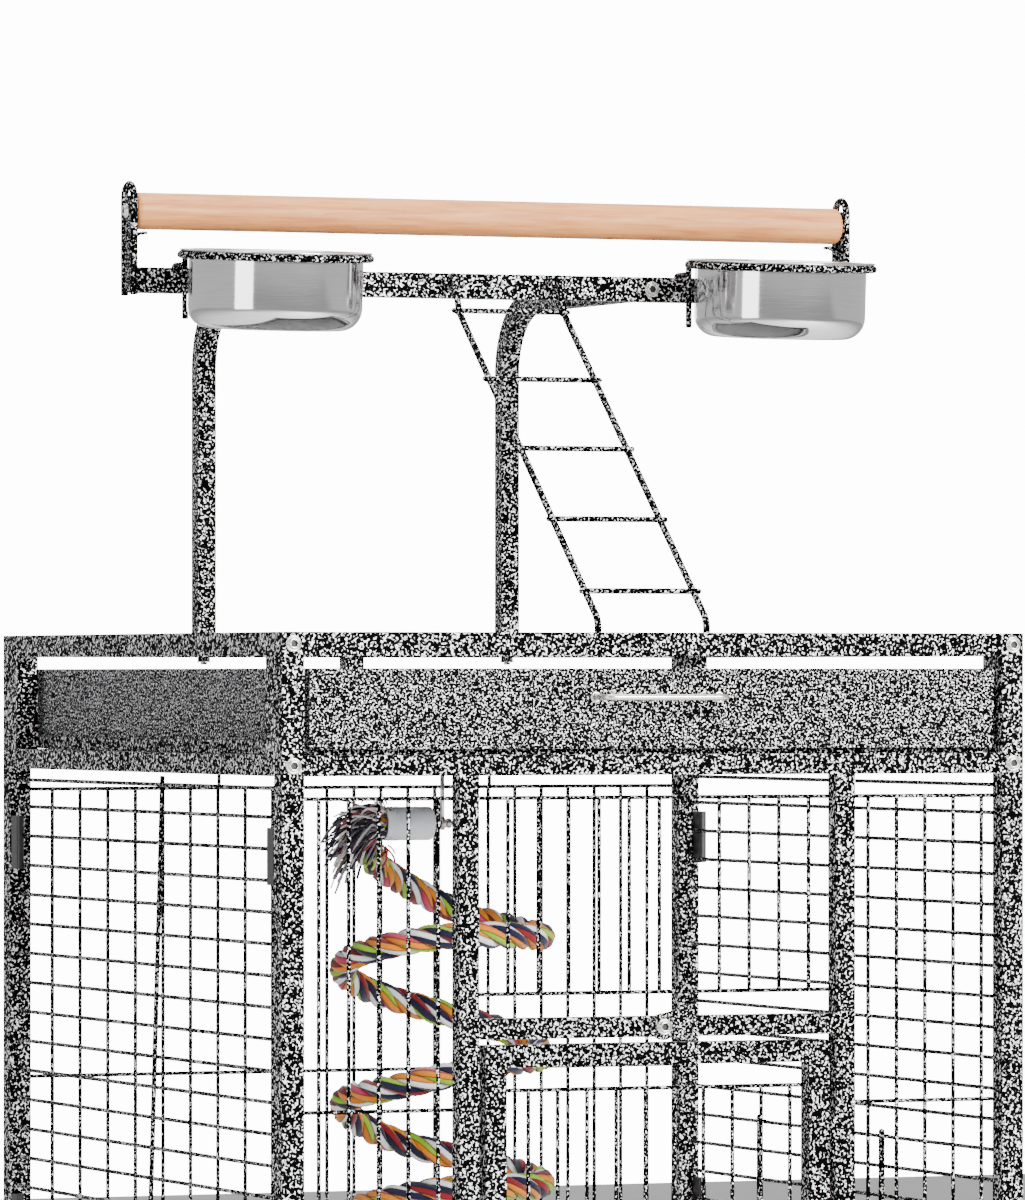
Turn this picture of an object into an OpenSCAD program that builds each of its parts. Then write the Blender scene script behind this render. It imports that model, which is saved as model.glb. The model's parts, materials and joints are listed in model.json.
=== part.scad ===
// Play-top bird cage on a rolling stand, in millimetres.
// +Z is up, the front with the door faces -Y, and the origin is on the floor under the middle of the box.

/* [Cage] */
// Width over the corner posts
cage_w = 626; // [600:2:650]
// Depth over the front and back frames
cage_d = 660; // [640:2:690]
// Height of the top face of the top rail above the floor
cage_top = 1374; // [1364:1:1384]
// Side of the square tube of the posts and the top rail
post = 18; // [17:0.5:19]
// Side of the square tube of the other rails and the door posts
rail = 16; // [15:0.5:17]

/* [Wire] */
// Diameter of the cage bars
bar_d = 3.2; // [2.8:0.1:3.4]
// Diameter of the stiffening wires
stiff_d = 4; // [3.6:0.1:4.2]
// Distance between the bars, centre to centre
pitch = 24.6; // [24.4:0.1:24.8]

/* [Door] */
// Width of the front door
door_w = 290; // [286:1:292]
// Height of the front door
door_h = 415; // [405:1:420]
// Side of the door's square tube
door_tube = 17; // [16:0.5:17]

/* [Play top] */
// Height of the wooden perch's axis
perch_z = 1713; // [1708:1:1718]
// Diameter of the wooden perch
perch_d = 29.5; // [28:0.5:30]
// Distance of the two playtop tubes from the middle
play_x = 138; // [130:1:145]
// Diameter of a steel cup's body
cup_d = 140; // [136:1:142]
// Height of a steel cup
cup_h = 61; // [55:1:65]

/* [Rope perch] */
// Diameter of the twisted rope
rope_d = 21; // [19:0.5:22]
// Radius of the rope's helix, at the middle of the rope
rope_r = 80; // [76:1:82]
// Length of the hanging helix from top to bottom
rope_drop = 400; // [390:1:410]

/* [Stand] */
// Diameter of the caster wheels
wheel_d = 50; // [48:1:52]
// Height of the underside of the posts
leg_z = 84; // [84:1:86]

/* [Hidden] */
$fn = 48;

hammertone = [0.22, 0.22, 0.24];
nickel = [0.78, 0.78, 0.76];
steel = [0.80, 0.80, 0.82];
beech = [0.88, 0.72, 0.56];
black = [0.06, 0.06, 0.06];
white_plastic = [0.93, 0.93, 0.92];
rope_colour = [0.75, 0.45, 0.25];

// The handles stand out at the front and the screw heads at the back, and the box is centred on the origin.
handle_reach = 20;
head_h = 3;
cage_y = (handle_reach - head_h) / 2;
front = cage_y - cage_d / 2;
back = cage_y + cage_d / 2;
half_w = cage_w / 2;
inner_x = half_w - post;
side_front = front + post;
side_back = back - post;

// Heights of the rails' lower faces, measured down from the top rail
second_z = cage_top - 110.5;
base_z = cage_top - 876;
lower_z = cage_top - 990;
top_bar_z = cage_top - 120;
panel_top_z = cage_top - 128;
panel_wires = [panel_top_z, panel_top_z - 240, panel_top_z - 480, base_z + rail + 14];

// Front opening between the two door posts
door_post_x = 159;
crossbar_z = cage_top - 314;
door_gap = 4.5;
door_top = crossbar_z - door_gap;
door_bottom = door_top - door_h;
low_bar_z = door_bottom - door_gap - rail;
wire_y = front + rail / 2;
window_pitch = 25.44;
window_off = 3.3;
hinge_r = 4;
hinge_pin_r = 2;
hinge_x = door_w / 2 + 3.2;
hinge_y = front - hinge_r;
hinge_len = 35;
hinge_up = door_top - 78;
hinge_low = door_bottom + 78;
latch_x = 2;
latch_open = 100;
latch_z = crossbar_z + rail / 2;

// Side walls
side_x = half_w - rail / 2;
bar_count = 31;
side_pitch = pitch - 0.25;
first_step = 22.2;
stiff_offset = (bar_d + stiff_d) / 2 - 0.3;
stiff_lean = 4.6;
clip = [6.2, 18, 44];
clip_drop = [52, 367, 682];

// Lift doors in the side walls, on round guide rods
guide_d = 5;
eye_wire = 2.5;
eye_r = guide_d / 2 + 0.1 + eye_wire / 2;
eye_up = 8;
guide_in_x = side_x - bar_d / 2 - eye_r - eye_wire / 2 - 1;
guide_out_x = side_x + bar_d / 2 + eye_r + eye_wire / 2 + 0.3;
nest_y = cage_y + 25;
nest_w = 245;
nest_first = 22;
nest_h = 222;
nest_rod_top = cage_top - 403;
nest_door_z = base_z + rail + 3;
feeder_w = 150;
feeder_first = 25;
feeder_last = 27;
feeder_h = 112;
feeder_rod_top = cage_top - 580;
feeder_door_z = bar_z(28) - 6;
feeder_offset = 150;
feeder_cup_d = 100;
feeder_cup_h = 44;
feeder_ring_z = bar_z(27) + 22;

// Sliding trays
tray_half = inner_x - 6;
tray_front = front + 4;
tray_back = back - rail - 0.5;
sheet = 1.2;
runner_t = 2;
top_tray_z = second_z + rail + 4.6;
top_tray_h = 62;
bottom_tray_z = lower_z + rail + 2.6;
bottom_tray_h = 64;
grate_z = base_z - 22;
handle_w = 104;
handle_d = 5;

// Play top
play_y = cage_y + 17;
crossbar = 20;
cross_z = cage_top + 283.5;
cross_half = 310;
play_bend = 60;
play_back = back - post / 2;
loop_d = 6;
loop_r = 11;
loop_top = cage_top + 363;
loop_x = cross_half + loop_d / 2;
cup_ring_d = 6;
cup_ring_r = cup_d / 2 + 5.5;
cup_ring_z = cage_top + 305;
cup_x = 220;
cup_y = play_y - 86.2;
cup_sag = 4;
hook_d = 5;
hook_x = 50;
hook_y = play_y - crossbar / 2 - hook_d / 2 - 0.1;

// Ladder, in the plane of its two rails
ladder_x = [-41, 51];
ladder_d = 5.5;
rung_d = 4.5;
ladder_pin_r = 2;
ladder_pin_y = play_y - crossbar / 2 - 8.5;
ladder_pin_z = cross_z + 2.5;
ladder_eye_r = ladder_pin_r + 0.08 + ladder_d / 2;
rung_y = -13.3;
rung_z = 260.3;
rung_step_y = -66.8;
rung_step_z = -57.4;
ladder_foot_y = -304.5;
ladder_foot_z = cage_top - 4.3;

// Rope perch, hung from one roof bar
rope_x = -3 * pitch;
rope_y = cage_y - 60;
roof_z = second_z + rail / 2;
cap_z = cage_top - 152;
cap_d = 27;
cap_len = 41;
cap_right = rope_x - 10;
lead_r = 26;
coil_top = cap_z - lead_r;
hook_wire = 3.5;
rope_pin_r = 2;

// Casters
trail = 20;
caster_x = half_w - 20;
plate_t = 3;
axle_d = 6;
wheel_w = 20;
cheek_x = 11.5;
cheek_t = 2.5;
swivel_d = 8;

function bar_z(k) = top_bar_z - (k > 0 ? first_step + (k - 1) * side_pitch : 0);
function caster_y(s) = s < 0 ? front + 20 : back - 20;

// A box from its lowest corner to its highest
module box(low, high) {
  translate(low)
    cube(high - low);
}

// A round rod between two points
module rod(a, b, d) {
  v = b - a;
  len = norm(v);
  translate(a)
    rotate([0, acos(v[2] / len), atan2(v[1], v[0])])
      cylinder(d = d, h = len);
}

// A bent wire through several points, with a ball at each bend
module wire(points, d) {
  for (i = [0 : len(points) - 2])
    rod(points[i], points[i + 1], d);
  for (i = [1 : 1 : len(points) - 2])
    translate(points[i])
      sphere(d = d * 1.06);
}

// A ring of wire round an axis
module ring(r, d, angle = 360) {
  rotate_extrude(angle = angle)
    translate([r, 0])
      circle(d = d, $fn = 24);
}

// Both sides, left as drawn and right mirrored
module both_sides() {
  for (s = [0, 1])
    mirror([s, 0, 0])
      children();
}

// A square tube along X
module rail_x(y, z, size, half) {
  box([-half, y, z], [half, y + size, z + size]);
}

// A square tube along Y on the left or right side
module rail_y(s, z, size) {
  mirror([s > 0 ? 1 : 0, 0, 0])
    box([-half_w, side_front, z], [-half_w + size, side_back, z + size]);
}

// ---- Frames ----

// The tubes that the front and the back frame share
module end_frame(y, light_y) {
  both_sides()
    box([-half_w, y, leg_z], [-inner_x, y + post, cage_top]);
  rail_x(y, cage_top - post, post, inner_x + post / 2);
  for (z = [second_z, base_z, lower_z, leg_z])
    rail_x(light_y, z, rail, inner_x + post / 2);
}

module front_frame() {
  color(hammertone) {
    end_frame(front, front);
    both_sides()
      box([-door_post_x - rail / 2, front, base_z + rail / 2],
          [-door_post_x + rail / 2, front + rail, second_z + rail / 2]);
    rail_x(front, crossbar_z, rail, door_post_x);
    rail_x(front, low_bar_z, rail, door_post_x);
  }
}

module back_frame() {
  upright_x = -4;
  color(hammertone) {
    end_frame(back - post, back - rail);
    box([upright_x - rail / 2, back - rail, second_z + rail / 2],
        [upright_x + rail / 2, back, cage_top - post / 2]);
  }
}

module side_frame(s) {
  color(hammertone) {
    mirror([s > 0 ? 1 : 0, 0, 0])
      for (y = [side_front, side_back - post])
        box([-half_w, y, second_z], [-inner_x, y + post, cage_top]);
    rail_y(s, cage_top - post, post);
    for (z = [second_z, base_z, lower_z, leg_z])
      rail_y(s, z, rail);
  }
}

module left_side_frame() {
  side_frame(-1);
}

module right_side_frame() {
  side_frame(1);
}

// ---- Wire walls ----

// Upright bars at the given places, held by level wires between two tubes
module grille(xs, y, bottom, top, wires, x0, x1, depth) {
  for (x = xs)
    rod([x, y, bottom], [x, y, top], bar_d);
  for (z = wires)
    rod([x0, y + depth, z], [x1, y + depth, z], bar_d);
}

module front_grilles() {
  post_in = door_post_x + rail / 2;
  depth = bar_d - 0.4;
  color(hammertone) {
    for (s = [-1, 1])
      grille([for (k = [-2 : 2]) s * (post_in + inner_x) / 2 + k * pitch], wire_y, base_z + rail,
             panel_top_z + bar_d / 2, panel_wires, s < 0 ? -inner_x : post_in, s < 0 ? -post_in : inner_x, depth);
    window = [for (k = [-5 : 5]) k * window_pitch + window_off];
    clear = door_post_x - rail / 2;
    grille(window, wire_y, crossbar_z + 33.6, panel_top_z + bar_d / 2,
           [crossbar_z + 34.6, panel_top_z], -clear, clear, depth);
    grille(window, wire_y, base_z + rail, low_bar_z,
           [base_z + rail + 14, low_bar_z - 12], -clear, clear, depth);
  }
}

module back_grille() {
  offset = -2;
  color(hammertone) {
    grille([for (k = [-11 : 11]) k * pitch + offset], back - rail / 2, base_z + rail,
           panel_top_z + bar_d / 2, panel_wires, -inner_x, inner_x, -bar_d + 0.4);
    for (x = [-5 * pitch + offset, 5 * pitch + offset])
      rod([x, back - rail / 2 - bar_d + 0.4, panel_top_z], [x, back - rail / 2 - bar_d + 0.4, second_z], bar_d);
  }
}

// One level bar of a side wall, left out between y0 and y1
module side_bar(z, y0, y1) {
  if (y0 > y1)
    rod([side_x, side_front, z], [side_x, side_back, z], bar_d);
  else {
    rod([side_x, side_front, z], [side_x, y0, z], bar_d);
    rod([side_x, y1, z], [side_x, side_back, z], bar_d);
  }
}

module upright_wire(y, z0, z1) {
  rod([side_x - stiff_offset, y, z0], [side_x - stiff_offset, y, z1], stiff_d);
}

module right_side_bars() {
  y0 = nest_y - nest_w / 2 + 16;
  y1 = nest_y + nest_w / 2 - 16;
  color(hammertone) {
    for (k = [0 : bar_count - 1])
      side_bar(bar_z(k), k < nest_first ? 1 : y0, k < nest_first ? 0 : y1);
    for (y = [y0 + 1, y1 - 1])
      upright_wire(y, base_z + rail, bar_z(nest_first - 1));
    upright_wire(cage_y, bar_z(nest_first - 1), second_z);
  }
}

// The middle of the left wall's stiffener is at the middle of the wall, and it leans a little
module left_side_bars() {
  mid_z = (second_z + base_z + rail) / 2;
  len = second_z - base_z - rail - 3;
  color(hammertone)
    mirror([1, 0, 0]) {
      for (k = [0 : feeder_first - 1])
        side_bar(bar_z(k), 1, 0);
      for (k = [feeder_first : feeder_last]) {
        rod([side_x, side_front, bar_z(k)], [side_x, feeder_edge(-1, -1), bar_z(k)], bar_d);
        rod([side_x, feeder_edge(-1, 1), bar_z(k)], [side_x, feeder_edge(1, -1), bar_z(k)], bar_d);
        rod([side_x, feeder_edge(1, 1), bar_z(k)], [side_x, side_back, bar_z(k)], bar_d);
      }
      for (k = [feeder_last + 1 : bar_count - 1])
        side_bar(bar_z(k), 1, 0);
      for (s = [-1, 1], e = [-1, 1])
        upright_wire(feeder_edge(s, e) - e, bar_z(feeder_last + 1), bar_z(feeder_first - 1));
      translate([side_x - stiff_offset, cage_y, mid_z])
        rotate([stiff_lean, 0, 0])
          cylinder(d = stiff_d, h = len, center = true);
    }
}

// The edge of a feeder opening: s is the front or back opening, e its near or far edge
function feeder_edge(s, e) = cage_y + s * feeder_offset + e * (feeder_w / 2 - 16);

module roof_grille() {
  color(hammertone) {
    for (k = [-11 : 11])
      rod([k * pitch, front + rail, roof_z], [k * pitch, back - rail, roof_z], bar_d);
    for (y = [cage_y - 200, cage_y, cage_y + 200])
      rod([-inner_x, y, roof_z + bar_d - 0.2], [inner_x, y, roof_z + bar_d - 0.2], stiff_d - 0.4);
  }
}

// ---- Stand ----

// Angle runners that carry the two trays and the grate
module tray_runners() {
  color(hammertone) {
    both_sides()
      for (z = [top_tray_z - 0.05, grate_z - 0.3, bottom_tray_z - 0.05]) {
        box([-inner_x, side_front, z - runner_t], [-inner_x + 14, side_back, z]);
        box([-inner_x, side_front, z - runner_t - 2], [-inner_x + runner_t, side_back, z + 6]);
      }
    for (tray_z = [top_tray_z, bottom_tray_z])
      box([-inner_x + 14.5, front + rail, tray_z - 9], [inner_x - 14.5, front + rail + 1.5, tray_z - 0.3]);
  }
}

module storage_shelf() {
  edge = 0.5;
  low = [-inner_x + edge, front + 1, leg_z + rail];
  high = [inner_x - edge, back - 1, leg_z + rail + 1.5];
  lip = 14;
  color(hammertone) {
    box(low, high);
    for (s = [0, 1])
      mirror([s, 0, 0])
        box([low[0], side_front + 1, low[2]], [low[0] + 1.5, side_back - 1, high[2] + lip]);
  }
}

// A button-head screw with a hexagon socket, its head on the plane y = 0 and facing -Y
module button_screw(d = 13, h = 3, shank = 0, shank_d = 6) {
  rotate([90, 0, 0])
    difference() {
      union() {
        rotate_extrude()
          polygon([[0, 0], [d / 2, 0], [d / 2, h * 0.35], [d * 0.42, h * 0.72], [d * 0.3, h], [0, h]]);
        if (shank > 0)
          translate([0, 0, -shank])
            cylinder(d = shank_d, h = shank + 0.2);
      }
      translate([0, 0, h * 0.35])
        cylinder(d = 5.4, h = h, $fn = 6);
    }
}

module frame_screws() {
  screw_x = half_w - post / 2;
  zs = [cage_top - post / 2, second_z + rail / 2, base_z + rail / 2, lower_z + rail / 2, leg_z + rail / 2];
  color(nickel) {
    for (x = [-screw_x, screw_x], z = zs) {
      translate([x, front, z])
        button_screw(h = head_h);
      translate([x, back, z])
        rotate([0, 0, 180])
          button_screw(h = head_h);
    }
    translate([latch_x, front - 4.2, latch_z])
      button_screw(h = 3.4, shank = 4.2);
    for (p = inner_perch_places, s = [-1, 1])
      translate([s * (side_x + bar_d / 2 + 0.02), p[0], p[1]])
        rotate([0, s * 90, 0]) {
          cylinder(d = 30, h = 2);
          translate([0, 0, 2])
            cylinder(d = 11, h = 4, $fn = 6);
          translate([0, 0, -bar_d - 0.22])
            cylinder(d = 5, h = bar_d + 0.4);
        }
  }
}

inner_perch_places = [
  [cage_y + 175, (bar_z(18) + bar_z(19)) / 2],
  [cage_y + 262, (bar_z(24) + bar_z(25)) / 2]
];

module inner_perches() {
  half = side_x - bar_d / 2 - 0.2;
  color(beech)
    for (p = inner_perch_places)
      rod([-half, p[0], p[1]], [half, p[0], p[1]], 25);
}

// Black plastic clips beside the side posts
module panel_clips() {
  r = 2.5;
  color(black)
    both_sides()
      for (y = [side_front + 0.2, side_back - clip[1] - 0.2], drop = clip_drop)
        translate([side_x + bar_d / 2 + 0.02, y, top_bar_z - drop - clip[2] / 2])
          linear_extrude(height = clip[2])
            rounded_rect(clip[0], clip[1], r);
}

module rounded_rect(w, h, r) {
  translate([r, 0])
    square([w - 2 * r, h]);
  translate([0, r])
    square([w, h - 2 * r]);
  for (x = [r, w - r], y = [r, h - r])
    translate([x, y])
      circle(r = r);
}

// ---- Trays ----

// An open sheet-metal tray whose front wall has a folded hem
module tray(z, h) {
  hem_h = 9;
  difference() {
    union() {
      box([-tray_half, tray_front, z], [tray_half, tray_back, z + h]);
      box([-tray_half, tray_front - 1.2, z + h - hem_h], [tray_half, tray_front + 1, z + h]);
    }
    box([-tray_half + sheet, tray_front + sheet, z + sheet], [tray_half - sheet, tray_back - sheet, z + h + 1]);
  }
}

// A bow handle on the front wall of a tray
module bow_handle(z) {
  out = front - handle_reach + handle_d / 2;
  x = handle_w / 2;
  wire([[-x, tray_front - 0.05, z], [-x, out, z], [x, out, z], [x, tray_front - 0.05, z]], handle_d);
}

module top_tray() {
  color(hammertone)
    tray(top_tray_z, top_tray_h);
}

module bottom_tray() {
  color(hammertone)
    tray(bottom_tray_z, bottom_tray_h);
}

module top_tray_handle() {
  color(nickel)
    bow_handle(top_tray_z + 39.7);
}

module bottom_tray_handle() {
  color(nickel)
    bow_handle(bottom_tray_z + 39.7);
}

module bottom_grate() {
  edge_d = 5;
  x = tray_half - 2;
  y0 = tray_front + edge_d / 2;
  y1 = tray_back - edge_d / 2;
  z = grate_z + edge_d / 2;
  step = 2 * x / 24;
  color(hammertone) {
    wire([[-x, y0, z], [-x, y1, z], [x, y1, z], [x, y0, z]], edge_d);
    rod([-x, y0, z], [x, y0, z], edge_d);
    for (s = [-1, 1])
      translate([s * x, y0, z])
        sphere(d = edge_d * 1.06);
    for (k = [1 : 23])
      rod([-x + k * step, y0, z + 0.8], [-x + k * step, y1, z + 0.8], bar_d);
    for (y = [cage_y - 160, cage_y + 160])
      rod([-x, y, z - 1.2], [x, y, z - 1.2], bar_d);
  }
}

// ---- Front door ----

module door_frame() {
  x = door_w / 2;
  color(hammertone) {
    for (s = [0, 1])
      mirror([s, 0, 0])
        box([-x, front, door_bottom], [-x + door_tube, front + door_tube, door_top]);
    for (z = [door_bottom, door_top - door_tube])
      box([-x + door_tube / 2, front, z], [x - door_tube / 2, front + door_tube, z + door_tube]);
  }
}

module door_grille() {
  inside = door_w / 2 - door_tube;
  offset = 4;
  y = front + door_tube / 2;
  color(hammertone)
    grille([for (k = [-4.5 : 4.5]) k * pitch + offset], y, door_bottom + 34, door_top - 34,
           [door_top - 35.5, (door_top + door_bottom) / 2, door_bottom + 35.5], -inside, inside, bar_d - 0.4);
}

// One half of a barrel hinge: s is -1 on the door's side and 1 on the post's
module hinge_half(z0, z1, s, bore) {
  leaf = 14;
  leaf_t = 1.6;
  difference() {
    union() {
      translate([hinge_x, hinge_y, z0])
        cylinder(r = hinge_r, h = z1 - z0);
      box([s > 0 ? hinge_x : hinge_x - leaf, front - leaf_t, z0],
          [s > 0 ? hinge_x + leaf : hinge_x, front, z1]);
    }
    translate([hinge_x, hinge_y, z0 - 1])
      cylinder(r = bore, h = z1 - z0 + 2);
  }
}

module door_post_hinges() {
  color(hammertone)
    for (z = [hinge_up, hinge_low]) {
      hinge_half(z - hinge_len / 2, z - 0.2, 1, hinge_pin_r);
      translate([hinge_x, hinge_y, z - hinge_len / 2])
        cylinder(r = hinge_pin_r, h = hinge_len);
    }
}

module door_leaf_hinges() {
  color(hammertone)
    for (z = [hinge_up, hinge_low])
      hinge_half(z + 0.2, z + hinge_len / 2, -1, hinge_pin_r + 0.05);
}

// A bell-shaped turn latch, drawn turned aside; turned back, it hangs over the door's top tube
module door_latch() {
  t = 2.5;
  color(hammertone)
    translate([latch_x, front - 0.9, latch_z])
      rotate([90, 0, 0])
        difference() {
          linear_extrude(height = t)
            rotate(latch_open) {
              circle(r = 10.5);
              polygon([[-9.5, 4], [9.5, 4], [11, -13], [13.5, -22], [-13.5, -22], [-11, -13]]);
              for (x = [-7.5, 7.5])
                translate([x, -22])
                  circle(r = 6);
              translate([0, -23])
                circle(r = 6.5);
            }
          translate([0, 0, -1])
            cylinder(d = 6.1, h = t + 2);
        }
}

// ---- Play top ----

module playtop_tube(x) {
  half = rail / 2;
  bend_y = play_back - play_bend;
  bend_z = cross_z - play_bend;
  color(hammertone) {
    box([x - half, play_back - half, cage_top], [x + half, play_back + half, bend_z]);
    translate([x, bend_y, bend_z])
      rotate([90, 0, 90])
        rotate_extrude(angle = 90)
          translate([play_bend - half, -half])
            square(rail);
    box([x - half, play_y + crossbar / 2, cross_z - half], [x + half, bend_y, cross_z + half]);
  }
}

module playtop_tube_left() {
  playtop_tube(-play_x);
}

module playtop_tube_right() {
  playtop_tube(play_x);
}

module playtop_crossbar() {
  half = crossbar / 2;
  color(hammertone)
    box([-cross_half, play_y - half, cross_z - half], [cross_half, play_y + half, cross_z + half]);
}

// An upright loop at each end of the crossbar, with the plate that the perch is screwed to
module perch_brackets() {
  top = loop_top - loop_d / 2 - loop_r - perch_z;
  bottom = cross_z - crossbar / 2 - 2 - perch_z;
  color(hammertone)
    for (turn = [0, 180])
      translate([0, play_y, perch_z])
        rotate([0, 0, turn]) {
          for (s = [-1, 1])
            rod([-loop_x, s * loop_r, bottom], [-loop_x, s * loop_r, top], loop_d);
          translate([-loop_x, 0, top])
            rotate([90, 0, 90])
              ring(loop_r, loop_d, 180);
          box([-loop_x - 1.2, -9, -24], [-cross_half + 0.5, 9, 5]);
          box([-loop_x - 1.2, -9, bottom + 2], [-cross_half - 1, 9, -20]);
          translate([-cross_half, 6, -perch_d / 2 - 0.4])
            rotate([90, 0, 0])
              linear_extrude(height = 12)
                polygon([[0, 0], [12, -2], [12, -3], [0, -8]]);
        }
}

module wood_perch() {
  half = cross_half - 0.5;
  round = 4;
  r = perch_d / 2;
  profile = concat([[0, 0]], [for (a = [0 : 15 : 90]) [r - round + round * sin(a), round - round * cos(a)]],
                   [for (a = [90 : 15 : 180]) [r - round + round * sin(a), 2 * half - round - round * cos(a)]],
                   [[0, 2 * half]]);
  color(beech)
    translate([-half, play_y, perch_z])
      rotate([0, 90, 0])
        rotate_extrude()
          polygon(profile);
}

module playtop_bolts() {
  color(nickel) {
    for (x = [-play_x, play_x]) {
      translate([x, play_y - crossbar / 2, cross_z])
        button_screw(h = head_h);
      translate([x, play_back, cage_top - post - 4])
        cylinder(d = 12, h = 4, $fn = 6);
      translate([x, play_back, cage_top - post - 6])
        cylinder(d = 6, h = 2.2);
    }
    for (s = [-1, 1])
      translate([s * (loop_x + 1.5), play_y, perch_z])
        rotate([0, 0, s * 90])
          button_screw(d = 12, h = 4);
  }
}

// ---- Ladder ----

function rung_at(k) = [cage_y + rung_y + k * rung_step_y, cage_top + rung_z + k * rung_step_z];

module ladder() {
  color(hammertone) {
    for (x = ladder_x) {
      translate([x, ladder_pin_y, ladder_pin_z])
        rotate([90, 0, 90])
          ring(ladder_eye_r, ladder_d);
      wire([
        [x, ladder_pin_y - ladder_eye_r, ladder_pin_z],
        [x, rung_at(0)[0] - 1, rung_at(0)[1] + 1],
        [x, rung_at(4)[0], rung_at(4)[1]],
        [x, cage_y + ladder_foot_y, cage_top + 10],
        [x, cage_y + ladder_foot_y, ladder_foot_z]
      ], ladder_d);
    }
    for (k = [0 : 4])
      rod([ladder_x[0] - 6, rung_at(k)[0], rung_at(k)[1] + 2], [ladder_x[1] + 6, rung_at(k)[0], rung_at(k)[1] + 2], rung_d);
  }
}

// Pins on the crossbar for the ladder's eyes, and ledges in the top rail for its feet
module ladder_supports() {
  stub = 6.5;
  color(hammertone)
    for (x = ladder_x) {
      rod([x - stub, ladder_pin_y, ladder_pin_z], [x + stub, ladder_pin_y, ladder_pin_z], 2 * ladder_pin_r);
      for (s = [-1, 1])
        box([x + s * stub - 1.5, ladder_pin_y - 3, ladder_pin_z - 3],
            [x + s * stub + 1.5, play_y - crossbar / 2, ladder_pin_z + 3]);
      box([x - 8, front + post, ladder_foot_z - 2.05], [x + 8, front + post + 12, ladder_foot_z - 0.05]);
    }
}

// ---- Steel cups ----

// A thin steel cup whose rim rests on its ring: z is the underside of the rim
module cup(d, h, z, flange) {
  r = d / 2;
  bend = 18;
  t = 0.9;
  outside = concat([[0, -h]], [for (a = [0 : 10 : 90]) [r - bend + bend * sin(a), bend - h - bend * cos(a)]]);
  inside = concat([[r - t, 0.8]], [for (a = [90 : -10 : 0]) [r - bend + (bend - t) * sin(a), bend - h - (bend - t) * cos(a)]],
                  [[0, t - h]]);
  color(steel)
    translate([0, 0, z])
      rotate_extrude()
        polygon(concat(outside, [[r, 0], [r + flange, 0], [r + flange, 1.8], [r - t, 1.8]], inside));
}

module cup_left() {
  sagging(-cup_x)
    cup(cup_d, cup_h, cup_ring_d / 2 + 0.1, 7);
}

module cup_right() {
  sagging(cup_x)
    cup(cup_d, cup_h, cup_ring_d / 2 + 0.1, 7);
}

// The place of a cup's ring, which sags forward a little from its hooks
module sagging(x) {
  translate([x, hook_y, cup_ring_z])
    rotate([cup_sag, 0, 0])
      translate([0, cup_y - hook_y, 0])
        children();
}

// A ring with two hooks that hang over the crossbar
module cup_holder(x) {
  over_z = cross_z + crossbar / 2 + hook_d / 2 + 0.1;
  behind_y = play_y + crossbar / 2 + hook_d / 2 + 0.1;
  reach = hook_y - cup_y - sqrt(cup_ring_r * cup_ring_r - hook_x * hook_x);
  join_z = cup_ring_z - reach * sin(cup_sag);
  color(hammertone) {
    sagging(x)
      ring(cup_ring_r, cup_ring_d);
    for (s = [-1, 1]) {
      wire([[x + s * hook_x, hook_y - reach * cos(cup_sag), join_z],
            [x + s * hook_x, hook_y, join_z],
            [x + s * hook_x, hook_y, cross_z - crossbar / 2 - 21]], hook_d);
      wire([[x + s * hook_x, hook_y, over_z], [x + s * hook_x, behind_y, over_z],
            [x + s * hook_x, behind_y, cross_z - 4]], hook_d);
    }
  }
}

module cup_holder_left() {
  cup_holder(-cup_x);
}

module cup_holder_right() {
  cup_holder(cup_x);
}

// ---- Rope perch ----

// A hook of steel wire round one roof bar, with an eye for the cap's pin
module rope_hook() {
  bar_eye = bar_d / 2 + 0.15 + hook_wire / 2;
  pin_eye = rope_pin_r + 0.1 + hook_wire / 2;
  color(nickel)
    translate([rope_x, rope_y, 0]) {
      translate([0, 0, roof_z])
        rotate([90, 0, 0])
          ring(bar_eye, hook_wire);
      rod([0, 0, cap_z + pin_eye], [0, 0, roof_z - bar_eye], hook_wire);
      translate([0, 0, cap_z])
        rotate([0, 90, 0])
          ring(pin_eye, hook_wire);
    }
}

module rope_top_cap() {
  color(white_plastic)
    translate([cap_right, rope_y, cap_z])
      rotate([0, -90, 0]) {
        cylinder(d = cap_d, h = cap_len);
        translate([0, 0, -16])
          cylinder(r = rope_pin_r, h = 17);
        translate([0, 0, -17.5])
          cylinder(d = 8, h = 2);
      }
}

// The rope's quarter bend from the cap down into the helix
module rope_lead() {
  color(rope_colour)
    translate([cap_right - cap_len, rope_y, cap_z - lead_r])
      rotate([90, 0, 0])
        rotate([0, 0, 90])
          ring(lead_r, rope_d, 90);
}

// The space that the helix fills
module rope_coil() {
  color(rope_colour)
    translate([rope_x, rope_y, coil_top - rope_drop])
      cylinder(r = rope_r + rope_d / 2 + 0.5, h = rope_drop, $fn = 64);
}

module rope_end_cap() {
  color(white_plastic)
    translate([rope_x + rope_r, rope_y, coil_top - rope_drop - cap_len])
      cylinder(d = cap_d, h = cap_len);
}

// ---- Lift doors in the side walls ----

// A wire door with four eyes round its two guide rods, in the plane x = 0
module lift_door(w, h, bars) {
  frame_d = stiff_d;
  y = w / 2 - eye_r - frame_d / 2 + 0.3;
  wire([[0, -y, 0], [0, -y, h], [0, y, h], [0, y, 0]], frame_d);
  rod([0, -y, 0], [0, y, 0], frame_d);
  for (s = [-1, 1]) {
    translate([0, s * y, 0])
      sphere(d = frame_d * 1.06);
    for (z = [eye_up, h - eye_up])
      translate([0, s * w / 2, z])
        ring(eye_r, eye_wire);
  }
  for (k = [1 : bars])
    rod([0, -y + 2 * y * k / (bars + 1), 0], [0, -y + 2 * y * k / (bars + 1), h], bar_d);
}

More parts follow.
